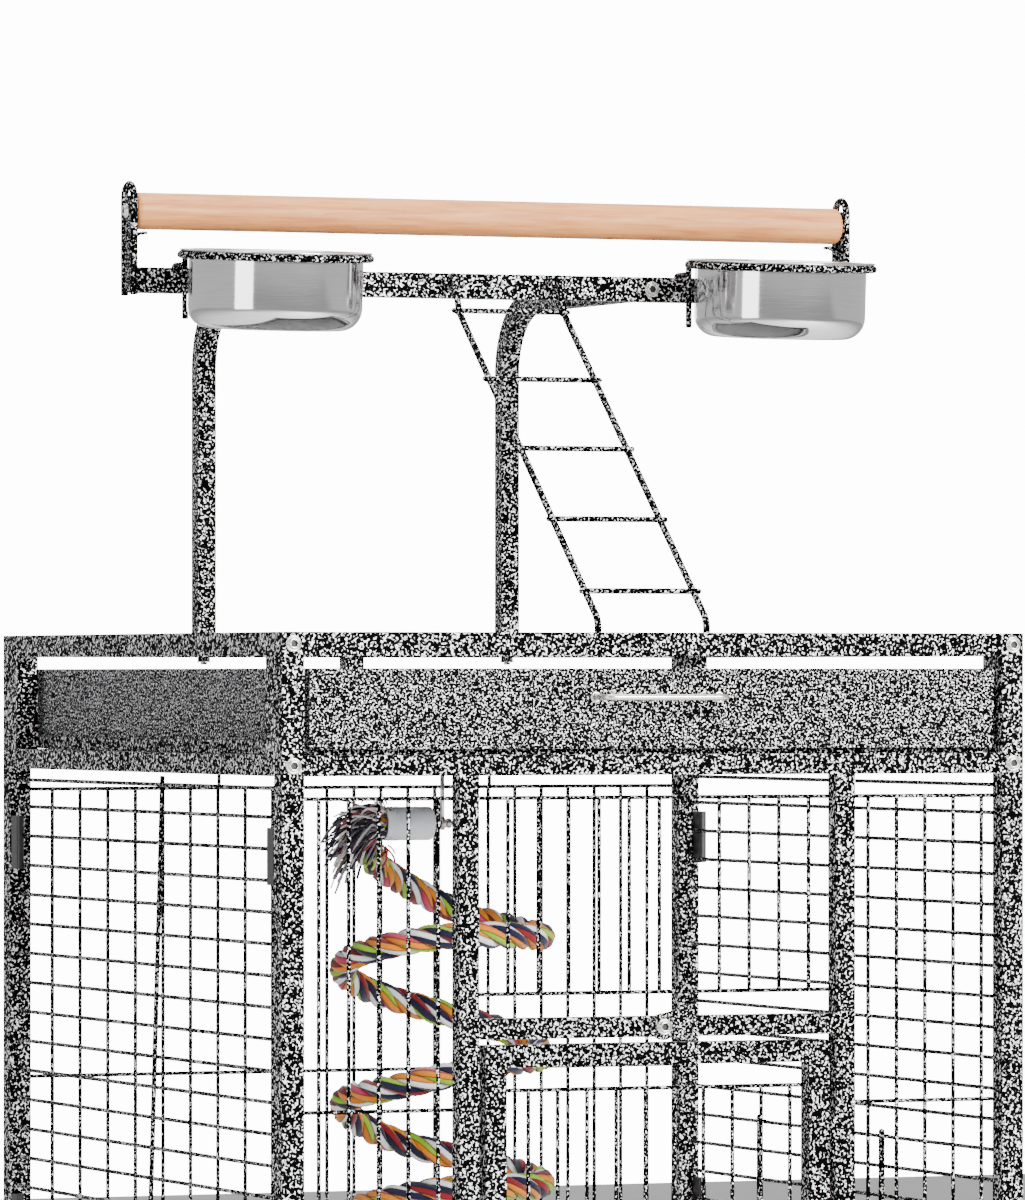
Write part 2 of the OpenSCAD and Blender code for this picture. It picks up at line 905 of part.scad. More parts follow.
module nest_door() {
  color(hammertone)
    translate([guide_in_x, nest_y, nest_door_z])
      lift_door(nest_w, nest_h, 9);
}

module feeder_door(s) {
  color(hammertone)
    translate([-guide_out_x, cage_y + s * feeder_offset, feeder_door_z])
      lift_door(feeder_w, feeder_h, 5);
}

module feeder_door_front() {
  feeder_door(-1);
}

module feeder_door_back() {
  feeder_door(1);
}

// A guide rod with a rounded top, held to the wall by two short stubs, the lower one under the door's eye
module guide_rod(x, wall_x, y, door_z, top) {
  stub_d = 3;
  rod([x, y, door_z - 3], [x, y, top - guide_d / 2], guide_d);
  translate([x, y, top - guide_d / 2])
    sphere(d = guide_d * 1.02);
  for (z = [door_z + eye_up - (eye_wire + stub_d) / 2 - 0.05, top - 6])
    rod([x, y, z], [wall_x, y, z], stub_d);
}

module side_door_guides() {
  color(hammertone) {
    for (s = [-1, 1])
      guide_rod(guide_in_x, side_x - bar_d / 2 - 0.05, nest_y + s * nest_w / 2, nest_door_z, nest_rod_top);
    for (f = [-1, 1], s = [-1, 1])
      guide_rod(-guide_out_x, -side_x - bar_d / 2 - 0.05, cage_y + f * feeder_offset + s * feeder_w / 2,
                feeder_door_z, feeder_rod_top);
  }
}

feeder_cup_x = -side_x + bar_d / 2 + 0.2 + 5 + feeder_cup_d / 2 + 5.5 + 3;

module feeder_rings() {
  leg_x = -side_x + bar_d / 2 + hook_d / 2 + 0.02;
  ring_r = feeder_cup_d / 2 + 4.5;
  leg_y = 30;
  color(hammertone)
    for (s = [-1, 1])
      translate([0, cage_y + s * feeder_offset, 0]) {
        translate([feeder_cup_x, 0, feeder_ring_z])
          ring(ring_r, hook_d);
        for (e = [-1, 1])
          wire([[feeder_cup_x - sqrt(ring_r * ring_r - leg_y * leg_y), e * leg_y, feeder_ring_z],
                [leg_x, e * leg_y, feeder_ring_z],
                [leg_x, e * leg_y, bar_z(feeder_last + 1) - 8]], hook_d);
      }
}

module feeder_cup(s) {
  translate([feeder_cup_x, cage_y + s * feeder_offset, 0])
    cup(feeder_cup_d, feeder_cup_h, feeder_ring_z + hook_d / 2 + 0.1, 6);
}

module feeder_cup_front() {
  feeder_cup(-1);
}

module feeder_cup_back() {
  feeder_cup(1);
}

// ---- Casters ----

module caster_plates() {
  head_z = 64;
  color(nickel)
    for (x = [-caster_x, caster_x], s = [-1, 1])
      translate([x, caster_y(s), 0]) {
        box([-20, -20, leg_z - plate_t], [20, 20, leg_z]);
        translate([0, 0, head_z])
          cylinder(d = swivel_d, h = leg_z - plate_t - head_z + 0.5);
        translate([0, 0, head_z - 2.5])
          cylinder(d = 13, h = 3);
      }
}

// One swivel fork that trails inwards, with its axle bolt and, where there is a brake, the pedal's pin
module caster_fork(x, s, braked) {
  color(nickel)
    translate([x, caster_y(s), 0])
      mirror([0, s > 0 ? 1 : 0, 0]) {
        difference() {
          union() {
            translate([0, 0, 69.5])
              cylinder(d = 30, h = 10.3);
            box([-cheek_x - cheek_t, -13, 69.5], [cheek_x + cheek_t, 13, 72]);
            for (side = [0, 1])
              mirror([side, 0, 0])
                translate([cheek_x, 0, 0])
                  rotate([90, 0, 90])
                    linear_extrude(height = cheek_t)
                      polygon([[-13, 72], [13, 72], [37, 63], [37, 50], [trail + 9, 17], [trail - 9, 17], [-13, 60]]);
          }
          translate([0, 0, 60])
            cylinder(d = swivel_d + 0.1, h = 30);
          translate([-30, trail, wheel_d / 2])
            rotate([0, 90, 0])
              cylinder(d = axle_d + 0.2, h = 60);
        }
        translate([-cheek_x - cheek_t - 3, trail, wheel_d / 2])
          rotate([0, 90, 0]) {
            cylinder(d = axle_d, h = 2 * (cheek_x + cheek_t + 3));
            cylinder(d = 11, h = 2.9);
            translate([0, 0, 2 * (cheek_x + cheek_t) + 3.1])
              cylinder(d = 11, h = 2.9, $fn = 6);
          }
        if (braked)
          rod([-cheek_x - 1, trail + 12, 57], [cheek_x + 1, trail + 12, 57], 4);
      }
}

module caster_fork_fl() {
  caster_fork(-caster_x, -1, true);
}

module caster_fork_fr() {
  caster_fork(caster_x, -1, true);
}

module caster_fork_bl() {
  caster_fork(-caster_x, 1, false);
}

module caster_fork_br() {
  caster_fork(caster_x, 1, false);
}

module caster_wheel(x, s) {
  r = wheel_d / 2;
  w = wheel_w / 2;
  tread = 3;
  color(black)
    translate([x, caster_y(s) - s * trail, r])
      rotate([0, 90, 0])
        rotate_extrude()
          polygon(concat([[axle_d / 2 + 0.05, -w], [9, -w], [10, -w + 3], [17, -w + 3], [18, -w]],
                         [for (a = [0 : 22.5 : 90]) [r - tread + tread * sin(a), -w + tread - tread * cos(a)]],
                         [for (a = [90 : 22.5 : 180]) [r - tread + tread * sin(a), w - tread - tread * cos(a)]],
                         [[18, w], [17, w - 3], [10, w - 3], [9, w], [axle_d / 2 + 0.05, w]]));
}

module caster_wheel_fl() {
  caster_wheel(-caster_x, -1);
}

module caster_wheel_fr() {
  caster_wheel(caster_x, -1);
}

module caster_wheel_bl() {
  caster_wheel(-caster_x, 1);
}

module caster_wheel_br() {
  caster_wheel(caster_x, 1);
}

module brake_pedal(x) {
  y = trail + 12;
  half = cheek_x - 1.5;
  color(black)
    translate([x, caster_y(-1), 0])
      difference() {
        union() {
          rod([-half, y, 57], [half, y, 57], 8);
          box([-half, y, 58], [half, y + 26, 61]);
          translate([0, y + 26, 58])
            cylinder(r = half, h = 3);
        }
        rod([-half - 1, y, 57], [half + 1, y, 57], 4.1);
      }
}

module brake_pedal_fl() {
  brake_pedal(-caster_x);
}

module brake_pedal_fr() {
  brake_pedal(caster_x);
}

front_frame();
front_grilles();
back_frame();
back_grille();
left_side_frame();
left_side_bars();
right_side_frame();
right_side_bars();
roof_grille();
tray_runners();
storage_shelf();
frame_screws();
panel_clips();
top_tray();
top_tray_handle();
bottom_grate();
bottom_tray();
bottom_tray_handle();
door_frame();
door_grille();
door_post_hinges();
door_leaf_hinges();
door_latch();
playtop_tube_left();
playtop_tube_right();
playtop_crossbar();
perch_brackets();
wood_perch();
playtop_bolts();
ladder();
ladder_supports();
cup_holder_left();
cup_holder_right();
cup_left();
cup_right();
rope_hook();
rope_top_cap();
rope_lead();
rope_coil();
rope_end_cap();
inner_perches();
nest_door();
side_door_guides();
feeder_door_front();
feeder_door_back();
feeder_rings();
feeder_cup_front();
feeder_cup_back();
caster_plates();
caster_fork_fl();
caster_fork_fr();
caster_fork_bl();
caster_fork_br();
caster_wheel_fl();
caster_wheel_fr();
caster_wheel_bl();
caster_wheel_br();
brake_pedal_fl();
brake_pedal_fr();
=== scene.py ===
import bpy
import json
import math
import random
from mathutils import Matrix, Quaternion, Vector


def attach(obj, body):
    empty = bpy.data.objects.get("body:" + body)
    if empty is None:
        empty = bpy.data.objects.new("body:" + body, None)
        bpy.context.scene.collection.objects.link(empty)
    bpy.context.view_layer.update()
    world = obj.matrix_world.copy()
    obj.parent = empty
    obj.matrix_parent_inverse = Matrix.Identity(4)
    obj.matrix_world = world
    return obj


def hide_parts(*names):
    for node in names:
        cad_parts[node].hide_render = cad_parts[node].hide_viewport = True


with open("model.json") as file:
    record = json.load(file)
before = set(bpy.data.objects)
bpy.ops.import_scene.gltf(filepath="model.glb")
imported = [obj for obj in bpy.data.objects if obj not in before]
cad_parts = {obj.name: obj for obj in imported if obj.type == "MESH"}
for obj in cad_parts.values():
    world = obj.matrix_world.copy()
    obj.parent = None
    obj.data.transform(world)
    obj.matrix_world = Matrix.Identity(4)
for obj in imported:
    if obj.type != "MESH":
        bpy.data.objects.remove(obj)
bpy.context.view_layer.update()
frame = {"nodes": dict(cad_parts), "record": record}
random.seed(7)
MM = 0.001

# ---------------------------------------------------------------- sizes, in mm, as in the CAD
CAGE_Y, HALF, DEPTH = 8.5, 313.0, 660.0
FRONT, BACK = CAGE_Y - DEPTH / 2, CAGE_Y + DEPTH / 2
POST, RAIL = 18.0, 16.0
INNER, SIDE_X = HALF - POST, HALF - RAIL / 2
SIDE_FRONT, SIDE_BACK = FRONT + POST, BACK - POST
TOP = 1374.0
SECOND, BASE, LOWER, SHELF = TOP - 110.5, TOP - 876, TOP - 990, 84.0
FLOOR_BAR = BASE + RAIL
TOPBAR, PANEL, ROOF_Z = TOP - 120, TOP - 128, SECOND + RAIL / 2
PANELS = [PANEL, PANEL - 240, PANEL - 480, FLOOR_BAR + 14]
BAR, STIFF, PITCH = 3.2, 4.0, 24.6
CROSS_GAP = 2.8
DOOR_W, DOOR_H, DOOR_TUBE, DOOR_GAP = 290.0, 415.0, 17.0, 4.5
CROSS = TOP - 314
DOOR_TOP = CROSS - DOOR_GAP
DOOR_LOW = DOOR_TOP - DOOR_H
LOWBAR = DOOR_LOW - DOOR_GAP - RAIL
NEST_Y, NEST_W = CAGE_Y + 25, 245.0
FEED_Y, FEED_W = 150.0, 150.0
PLAY_Y, PLAY_HALF = CAGE_Y + 17, 10.0
CROSS_Z, PERCH_Z = TOP + 283.5, TOP + 339
ROPE_X, ROPE_Y, CAP_Z = -3 * PITCH, CAGE_Y - 60, TOP - 152
CAP_LEN, CAP_D = 41.0, 27.0
CAP_RIGHT = ROPE_X - 10
CAP_LEFT = CAP_RIGHT - CAP_LEN
ROPE_D, ROPE_R = 21.0, 80.0
ROPE_END = CAP_Z - 426


def bar_z(k):
    """Height of a side wall's level bar, counted from the top one."""
    return TOPBAR - (22.2 + (k - 1) * (PITCH - 0.25) if k else 0)


# ---------------------------------------------------------------- node helpers
class Tree:
    """Short calls that make and link the nodes of one node tree."""

    def __init__(self, tree):
        self.tree = tree

    def node(self, kind, **values):
        node = self.tree.nodes.new(kind)
        for key, value in values.items():
            if key in node.inputs:
                node.inputs[key].default_value = value
            else:
                setattr(node, key, value)
        return node

    def put(self, socket, value):
        """Gives a socket a number, a colour or a link."""
        if isinstance(value, (int, float)):
            socket.default_value = value
        elif isinstance(value, tuple):
            socket.default_value = (*value, 1)
        else:
            self.tree.links.new(value, socket)

    def fill(self, node, numbers, values, output=0):
        for number, value in zip(numbers, values):
            self.put(node.inputs[number], value)
        return node.outputs[output]

    def coords(self, stretch=(1, 1, 1)):
        place = self.node("ShaderNodeMapping", Scale=stretch)
        return self.fill(place, [0], [self.node("ShaderNodeTexCoord").outputs["Object"]])

    def noise(self, spot, scale, detail=3.0, rough=0.5, distortion=0.0):
        node = self.node("ShaderNodeTexNoise", Scale=scale, Detail=detail, Roughness=rough,
                         Distortion=distortion)
        return self.fill(node, ["Vector"], [spot])

    def ramp(self, factor, stops, interpolation="LINEAR"):
        """A colour ramp; a stop's colour may be one grey."""
        node = self.node("ShaderNodeValToRGB")
        node.color_ramp.interpolation = interpolation
        elements = node.color_ramp.elements
        while len(elements) < len(stops):
            elements.new(0.5)
        for element, (position, colour) in zip(elements, stops):
            element.position = position
            element.color = (*(colour if isinstance(colour, tuple) else (colour,) * 3), 1)
        return self.fill(node, [0], [factor])

    def mix(self, factor, a, b, kind="MIX"):
        node = self.node("ShaderNodeMix", data_type="RGBA", blend_type=kind)
        return self.fill(node, [0, 6, 7], [factor, a, b], 2)

    def calc(self, operation, *values):
        return self.fill(self.node("ShaderNodeMath", operation=operation), range(3), values)

    def choose(self, factor, a, b):
        """Shader a where the factor is 0, shader b where it is 1."""
        return self.fill(self.node("ShaderNodeMixShader"), range(3), [factor, a, b])


class Mat(Tree):
    """One material round a Principled shader."""

    def __init__(self, name, **values):
        self.material = bpy.data.materials.new(name)
        self.material.use_nodes = True
        super().__init__(self.material.node_tree)
        self.shader = self.tree.nodes["Principled BSDF"]
        self.set(**values)

    def set(self, **values):
        for key, value in values.items():
            self.put(self.shader.inputs[key.replace("_", " ")], value)

    def bump(self, height, strength, distance):
        node = self.node("ShaderNodeBump", Strength=strength, Distance=distance)
        self.set(Normal=self.fill(node, ["Height"], [height]))


# ---------------------------------------------------------------- camera and light
def photo_camera():
    data = bpy.data.cameras.new("camera")
    data.lens, data.sensor_width, data.sensor_fit = 249.0, 36.0, "AUTO"
    data.shift_x, data.shift_y = 0.0, 0.0654
    data.clip_end = 200
    camera = bpy.data.objects.new("camera", data)
    camera.location = (-2.5473, -6.2520 + CAGE_Y * MM, 1.3383)
    camera.rotation_euler = (math.radians(90), 0, math.radians(-22.26))
    bpy.context.collection.objects.link(camera)
    bpy.context.scene.camera = camera


def area(name, place, target, size, power):
    lamp = bpy.data.lights.new(name, "AREA")
    lamp.energy, lamp.size = power, size
    ob = bpy.data.objects.new(name, lamp)
    ob.location = place
    ob.rotation_euler = (Vector(target) - Vector(place)).to_track_quat("-Z", "Y").to_euler()
    bpy.context.collection.objects.link(ob)


CAMERA_POWER, MIRROR_POWER, SKY_POWER = 14.0, 0.8128125, 0.57375


def world_light():
    """The camera sees plain white and mirrors an even grey; all else is lit by a sky, brighter above."""
    world = bpy.data.worlds.new("world")
    bpy.context.scene.world = world
    world.use_nodes = True
    w = Tree(world.node_tree)
    split = w.node("ShaderNodeSeparateXYZ")
    w.put(split.inputs[0], w.node("ShaderNodeTexCoord").outputs["Generated"])
    height = w.calc("MULTIPLY_ADD", split.outputs[2], 0.5, 0.5)
    sky = w.tree.nodes["Background"]
    w.fill(sky, ["Color", "Strength"], [w.ramp(height, [(0.42, 0.30), (0.75, 1.0)]), SKY_POWER])
    mirror, white = (w.node("ShaderNodeBackground", Color=(1, 1, 1, 1), Strength=power).outputs[0]
                     for power in (MIRROR_POWER, CAMERA_POWER))
    rays = w.node("ShaderNodeLightPath").outputs
    unseen = w.choose(rays["Is Glossy Ray"], sky.outputs[0], mirror)
    w.put(w.tree.nodes["World Output"].inputs[0], w.choose(rays["Is Camera Ray"], unseen, white))


photo_camera()
area("key", (1.6, -4.6, 3.0), (0, 0, 1.1), 2.0, 700)
area("fill", (-4.2, -2.2, 1.8), (0, 0, 1.1), 2.0, 70)
area("top", (0.2, 0.4, 4.4), (0, 0, 1.0), 2.4, 150)
area("rim", (0.8, 3.8, 2.6), (0, 0, 1.2), 2.4, 90)
world_light()


# ---------------------------------------------------------------- materials
def hammertone(name, scale, cut, silver):
    """Black powder coat with bright silver veins that wander like worms."""
    m = Mat(name)
    spot, edge = m.coords(), 0.014
    vein = m.ramp(m.noise(spot, scale, 0.8, 0.5, 0.5), [(cut - edge, 0.0), (cut + edge, 1.0)])
    soft = m.ramp(m.noise(spot, scale * 0.5, 2.0), [(0.40, 0.55), (0.52, 1.0)])
    vein = m.calc("MULTIPLY", vein, soft)
    m.set(Base_Color=m.mix(vein, (0.0, 0.0, 0.0), (silver, silver, silver * 1.01)),
          Metallic=m.ramp(vein, [(0.0, 0.0), (1.0, 0.15)]),
          Roughness=m.ramp(vein, [(0.0, 0.7), (1.0, 0.4)]),
          Specular_IOR_Level=m.ramp(vein, [(0.0, 0.02), (1.0, 0.5)]))
    m.bump(vein, 0.3, 0.0003)
    return m.material


def metal(name, colour, rough, stretch, scale, uneven):
    """Bright metal with fine brushing or plating unevenness."""
    m = Mat(name, Metallic=1.0)
    grain = m.noise(m.coords(stretch), scale, 4.0, 0.6)
    m.set(Base_Color=m.ramp(grain, [(0.3, tuple(c * 0.88 for c in colour)), (0.7, colour)]),
          Roughness=m.ramp(grain, [(0.25, rough - uneven), (0.75, rough + uneven)]))
    m.bump(grain, 0.06, 0.0002)
    return m.material


def beech():
    """Turned wood with grain along x and small darker flecks."""
    m = Mat("beech", Specular_IOR_Level=0.35, Coat_Weight=0.05, Coat_Roughness=0.4)
    grain = m.noise(m.coords((0.06, 1, 1)), 260.0, 6.0, 0.6, 0.5)
    fleck = m.noise(m.coords((0.2, 1, 1)), 900.0, 2.0, 0.5)
    base = m.ramp(grain, [(0.30, (0.46, 0.145, 0.040)), (0.50, (0.61, 0.235, 0.070)),
                          (0.72, (0.71, 0.315, 0.105))])
    spots = m.ramp(fleck, [(0.60, 0.0), (0.70, 0.55)])
    m.set(Base_Color=m.mix(spots, base, (0.50, 0.26, 0.12)),
          Roughness=m.ramp(grain, [(0.3, 0.62), (0.7, 0.48)]))
    m.bump(grain, 0.15, 0.0003)
    return m.material


def plastic(name, colour, rough, glow=0.0):
    """Moulded plastic or dyed thread, with slight blotches; glow is its subsurface weight."""
    m = Mat(name, Specular_IOR_Level=0.5)
    if glow:
        m.set(Subsurface_Weight=glow, Subsurface_Scale=0.01)
    fine = m.noise(m.coords(), 900.0, 2.0)
    blotch = m.noise(m.coords(), 60.0, 3.0)
    m.set(Base_Color=m.ramp(blotch, [(0.3, tuple(c * 0.86 for c in colour)), (0.7, colour)]),
          Roughness=m.ramp(fine, [(0.3, rough - 0.05), (0.7, rough + 0.08)]))
    m.bump(fine, 0.10, 0.0002)
    return m.material


def yarn(name, colours):
    """Cotton yarns side by side round a strand: u of the UV map counts them, v goes once round the strand.
    The colour carries painted shade in the grooves between yarns and on the side of each strand that faces
    the others.
    """
    m = Mat(name, Roughness=0.85, Sheen_Weight=0.25, Sheen_Roughness=0.5, Specular_IOR_Level=0.2)
    split = m.node("ShaderNodeSeparateXYZ")
    m.put(split.inputs[0], m.node("ShaderNodeUVMap", uv_map="yarn").outputs[0])
    u, v = split.outputs[0], split.outputs[1]
    n = len(colours)
    base = m.ramp(m.calc("FRACT", m.calc("DIVIDE", u, float(n))), [(i / n, c) for i, c in enumerate(colours)],
                  "CONSTANT")
    # painted shade: darker in the grooves between yarns, and much darker on the side of each strand that
    # faces in towards the others
    groove = m.calc("ABSOLUTE", m.calc("SUBTRACT", m.calc("FRACT", u), 0.5))
    inward = m.calc("ABSOLUTE", m.calc("SUBTRACT", m.calc("FRACT", m.calc("ADD", v, 0.5)), 0.5))
    painted_crevice_shade = m.mix(1.0, m.ramp(groove, [(0.30, 1.0), (0.5, 0.22)]), m.ramp(inward, [(0.18, 1.0), (0.27, 0.06)]),
                 "MULTIPLY")
    fibre = m.noise(m.coords(), 1500.0, 3.0, 0.7)
    tone = m.ramp(fibre, [(0.3, 0.72), (0.7, 1.0)])
    m.set(Base_Color=m.mix(1.0, m.mix(1.0, base, painted_crevice_shade, "MULTIPLY"), tone, "MULTIPLY"))
    m.bump(m.calc("SUBTRACT", fibre, m.calc("MULTIPLY", groove, 1.2)), 0.5, 0.0005)
    return m.material


PAINT = hammertone("painted_frame", 500.0, 0.591, 1.0)
# the frame's hammertone with painted shade: fewer and dimmer veins make the thin wires darker than the frame
SHADED_WIRE_PAINT = hammertone("wire_paint_and_shade", 560.0, 0.612, 0.9)
PAINT_SHEET = hammertone("painted_sheet", 640.0, 0.592, 1.0)
# painted shade: a darker copy of the frame paint for the rounded tube edges, as a dark outline
EDGE_SHADE_PAINT = hammertone("edge_shade_paint", 520.0, 0.68, 0.5)
NICKEL = metal("nickel", (0.72, 0.70, 0.66), 0.24, (1, 1, 1), 260.0, 0.07)
STEEL = metal("stainless", (0.68, 0.67, 0.67), 0.08, (1, 1, 40), 30.0, 0.04)
BEECH = beech()
# painted shade: near black inside the hex sockets of the nickel screw heads
SOCKET_SHADE = plastic("socket_painted_shade", (0.012, 0.011, 0.010), 0.5)
BLACK = plastic("black_plastic", (0.008, 0.008, 0.009), 0.38)
WHITE = plastic("white_plastic", (0.92, 0.93, 1.0), 0.30, 0.15)
TYRE = plastic("tyre", (0.03, 0.03, 0.032), 0.6)
RED, NAVY, LIME = (0.22, 0.002, 0.010), (0.004, 0.004, 0.030), (0.27, 0.50, 0.012)
ORANGE, COTTON, PINK = (0.70, 0.21, 0.002), (0.86, 0.84, 0.86), (0.52, 0.035, 0.09)
YARNS = [yarn("yarn_red", [RED, RED, LIME, ORANGE, NAVY, COTTON]),
         yarn("yarn_lime", [LIME, ORANGE, RED, NAVY, LIME, RED]),
         yarn("yarn_navy", [NAVY, COTTON, ORANGE, RED, LIME, ORANGE]),
         yarn("yarn_orange", [ORANGE, PINK, COTTON, NAVY, RED, LIME])]
DARK, PALE, RUBY, GREEN, GREY, BROWN, AMBER = range(7)
FRAY = [plastic("fray_dark", (0.02, 0.015, 0.03), 0.9), plastic("fray_cotton", (0.72, 0.70, 0.68), 0.9),
        plastic("fray_red", (0.35, 0.03, 0.05), 0.9), plastic("fray_lime", (0.45, 0.55, 0.12), 0.9),
        plastic("fray_grey", (0.22, 0.20, 0.23), 0.9), plastic("fray_brown", (0.20, 0.13, 0.09), 0.9),
        plastic("fray_orange", (0.62, 0.30, 0.02), 0.9)]


# ---------------------------------------------------------------- mesh helpers, in mm
class Build:
    """Collects the vertices and faces of one piece."""

    def __init__(self):
        self.points, self.faces, self.mats, self.uvs, self.smooth = [], [], [], [], []

    def face(self, corners, mat=0, uv=None, smooth=True):
        self.faces.append(corners)
        self.mats.append(mat)
        self.uvs.append(uv or [(0.0, 0.0)] * len(corners))
        self.smooth.append(smooth)

    def skin(self, base, rings, sides, mat, closed):
        """Quads between rings of points, and a flat face at each end unless the rings close on themselves."""
        for k in range(rings if closed else rings - 1):
            here, there = base + k * sides, base + (k + 1) % rings * sides
            for i in range(sides):
                j = (i + 1) % sides
                self.face([here + i, here + j, there + j, there + i], mat)
        if not closed:
            self.face([base + i for i in range(sides)][::-1], mat, smooth=False)
            self.face([base + (rings - 1) * sides + i for i in range(sides)], mat, smooth=False)

    def piece(self, name, mats, body, replaces=(), slot=None, uv=None):
        mesh = bpy.data.meshes.new(name)
        mesh.from_pydata([tuple(c * MM for c in p) for p in self.points], [], self.faces)
        mesh.polygons.foreach_set("material_index", self.mats)
        mesh.polygons.foreach_set("use_smooth", self.smooth)
        if uv:
            layer = mesh.uv_layers.new(name=uv)
            layer.data.foreach_set("uv", [c for corners in self.uvs for p in corners for c in p])
        for mat in mats:
            mesh.materials.append(mat)
        mesh.validate()
        mesh.update()
        ob = bpy.data.objects.new(name, mesh)
        bpy.context.collection.objects.link(ob)
        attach(ob, body)
        if replaces:
            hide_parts(*replaces)
        return ob


def angles(first, last, step):
    """Degrees from first to last, both included, in radians."""
    return [math.radians(k) for k in range(first, last + (1 if step > 0 else -1), step)]


def fillet(points, radius, steps=6):
    """The points with each corner rounded to an arc-like curve."""
    pts = [Vector(p) for p in points]
    out = [pts[0]]
    for a, b, c in zip(pts, pts[1:], pts[2:]):
        r = min(radius, (a - b).length * 0.45, (c - b).length * 0.45)
        p, q = b + (a - b).normalized() * r, b + (c - b).normalized() * r
        for i in range(steps + 1):
            t = i / steps
            out.append((1 - t) ** 2 * p + 2 * t * (1 - t) * b + t * t * q)
    out.append(pts[-1])
    return out


def frames(pts, closed=False):
    """Tangent, side and up of each point, carried along without twist."""
    n = len(pts)
    along = []
    for i in range(n):
        a = pts[i - 1] if i or closed else pts[0]
        b = pts[(i + 1) % n] if i < n - 1 or closed else pts[-1]
        along.append((b - a).normalized())
    up = Vector((0, 0, 1)) if abs(along[0].z) < 0.9 else Vector((1, 0, 0))
    side = (up - along[0] * up.dot(along[0])).normalized()
    out = []
    for i in range(n):
        if i:
            side = along[i - 1].rotation_difference(along[i]) @ side
            side = (side - along[i] * side.dot(along[i])).normalized()
        out.append((along[i], side, along[i].cross(side)))
    return out


def tube(b, points, d, sides=12, mat=0, closed=False, round_end=False):
    """A round wire of diameter d along the points; its open ends are rounded or have a small chamfer."""
    pts = [Vector(p) for p in points]
    axes = frames(pts, closed)
    r = d / 2
    rings = [(p, r, f) for p, f in zip(pts, axes)]
    if round_end:
        turns = [(math.cos(a), math.sin(a)) for a in (0.3, 0.75, 1.15, 1.57)]
        first = [(pts[0] - axes[0][0] * (r * c - r), r * s, axes[0]) for c, s in turns]
        last = [(pts[-1] + axes[-1][0] * (r * c - r), r * s, axes[-1]) for c, s in reversed(turns)]
        rings = first + rings[1:-1] + last
    elif not closed:
        k = min(0.25 * r, 0.5)
        rings = ([(pts[0], r - k, axes[0]), (pts[0] + axes[0][0] * k, r, axes[0])] + rings[1:-1]
                 + [(pts[-1] - axes[-1][0] * k, r, axes[-1]), (pts[-1], r - k, axes[-1])])
    base = len(b.points)
    for centre, radius, (_, side, up) in rings:
        for i in range(sides):
            a = 2 * math.pi * i / sides
            b.points.append(tuple(centre + (side * math.cos(a) + up * math.sin(a)) * radius))
    b.skin(base, len(rings), sides, mat, closed)


def lathe(b, profile, origin, axis="Z", sides=64, mat=0, closed=True):
    """A turned piece: (radius, height) points about an axis; a closed profile starts and ends off it."""
    base = len(b.points)
    for r, h in profile:
        for i in range(sides):
            a = 2 * math.pi * i / sides
            x, y = r * math.cos(a), r * math.sin(a)
            p = {"Z": (x, y, h), "X": (h, x, y), "-X": (-h, -x, y), "Y": (y, h, x)}[axis]
            b.points.append(tuple(Vector(origin) + Vector(p)))
    b.skin(base, len(profile), sides, mat, closed)


def bead(b, c, r):
    """A small weld bead: a ball with few faces."""
    base = len(b.points)
    rows, cols = 5, 8
    for i in range(1, rows):
        a = math.pi * i / rows
        for j in range(cols):
            p = 2 * math.pi * j / cols
            b.points.append((c[0] + r * math.sin(a) * math.cos(p), c[1] + r * math.sin(a) * math.sin(p),
                             c[2] + r * math.cos(a)))
    top, low = len(b.points), len(b.points) + 1
    b.points += [(c[0], c[1], c[2] + r), (c[0], c[1], c[2] - r)]
    for j in range(cols):
        k = (j + 1) % cols
        b.face([top, base + j, base + k])
        b.face([low, base + (rows - 2) * cols + k, base + (rows - 2) * cols + j])
        for i in range(rows - 2):
            here, there = base + i * cols, base + (i + 1) * cols
            b.face([here + j, there + j, there + k, here + k])


def ring_points(c, r, axis, n=40, a0=0.0, a1=360.0):
    """Points of a circle or an arc about an axis through c."""
    out = []
    for i in range(n if a1 - a0 == 360 else n + 1):
        a = math.radians(a0 + (a1 - a0) * i / n)
        x, y = r * math.cos(a), r * math.sin(a)
        out.append(Vector(c) + Vector({"Z": (x, y, 0), "X": (0, x, y), "Y": (x, 0, y)}[axis]))
    return out


def slab(b, pts, x0, x1, edge):
    """A flat outline in y and z made into a plate from x0 to x1 with rounded edges."""
    n = len(pts)
    cy, cz = sum(p[0] for p in pts) / n, sum(p[1] for p in pts) / n
    base = len(b.points)
    step = edge if x1 > x0 else -edge
    for x, inset in ((x0, edge), (x0 + step * 0.3, edge * 0.3), (x0 + step, 0), (x1 - step, 0),
                     (x1 - step * 0.3, edge * 0.3), (x1, edge)):
        for y, z in pts:
            d = max(math.hypot(y - cy, z - cz), 0.001)
            b.points.append((x, y - (y - cy) * inset / d, z - (z - cz) * inset / d))
    turn = 1 if x1 > x0 else -1
    for k in range(5):
        for i in range(n):
            a, c = base + k * n + i, base + k * n + (i + 1) % n
            b.face((a, c, c + n, a + n)[::turn])
    b.face(tuple(base + i for i in range(n))[::-turn], smooth=False)
    b.face(tuple(base + 5 * n + i for i in range(n))[::turn], smooth=False)


# ---------------------------------------------------------------- the rope perch, first of the pieces
def bezier(p0, p1, p2, p3, n):
    return [(1 - t) ** 3 * p0 + 3 * t * (1 - t) ** 2 * p1 + 3 * t * t * (1 - t) * p2 + t ** 3 * p3
            for t in (i / n for i in range(n + 1))]


# the coil hangs unevenly: how far it has come down from the cap at some angles along it
COIL_FALL = [(260, 38), (300, 72), (340, 86), (382, 91), (465, 88), (523, 102), (562, 117), (601, 135),
             (658, 158), (700, 172), (742, 186), (800, 191), (858, 208), (922, 226), (986, 260), (1040, 278),
             (1102, 289), (1187, 289), (1240, 303), (1282, 320), (1370, 356), (1410, 372)]


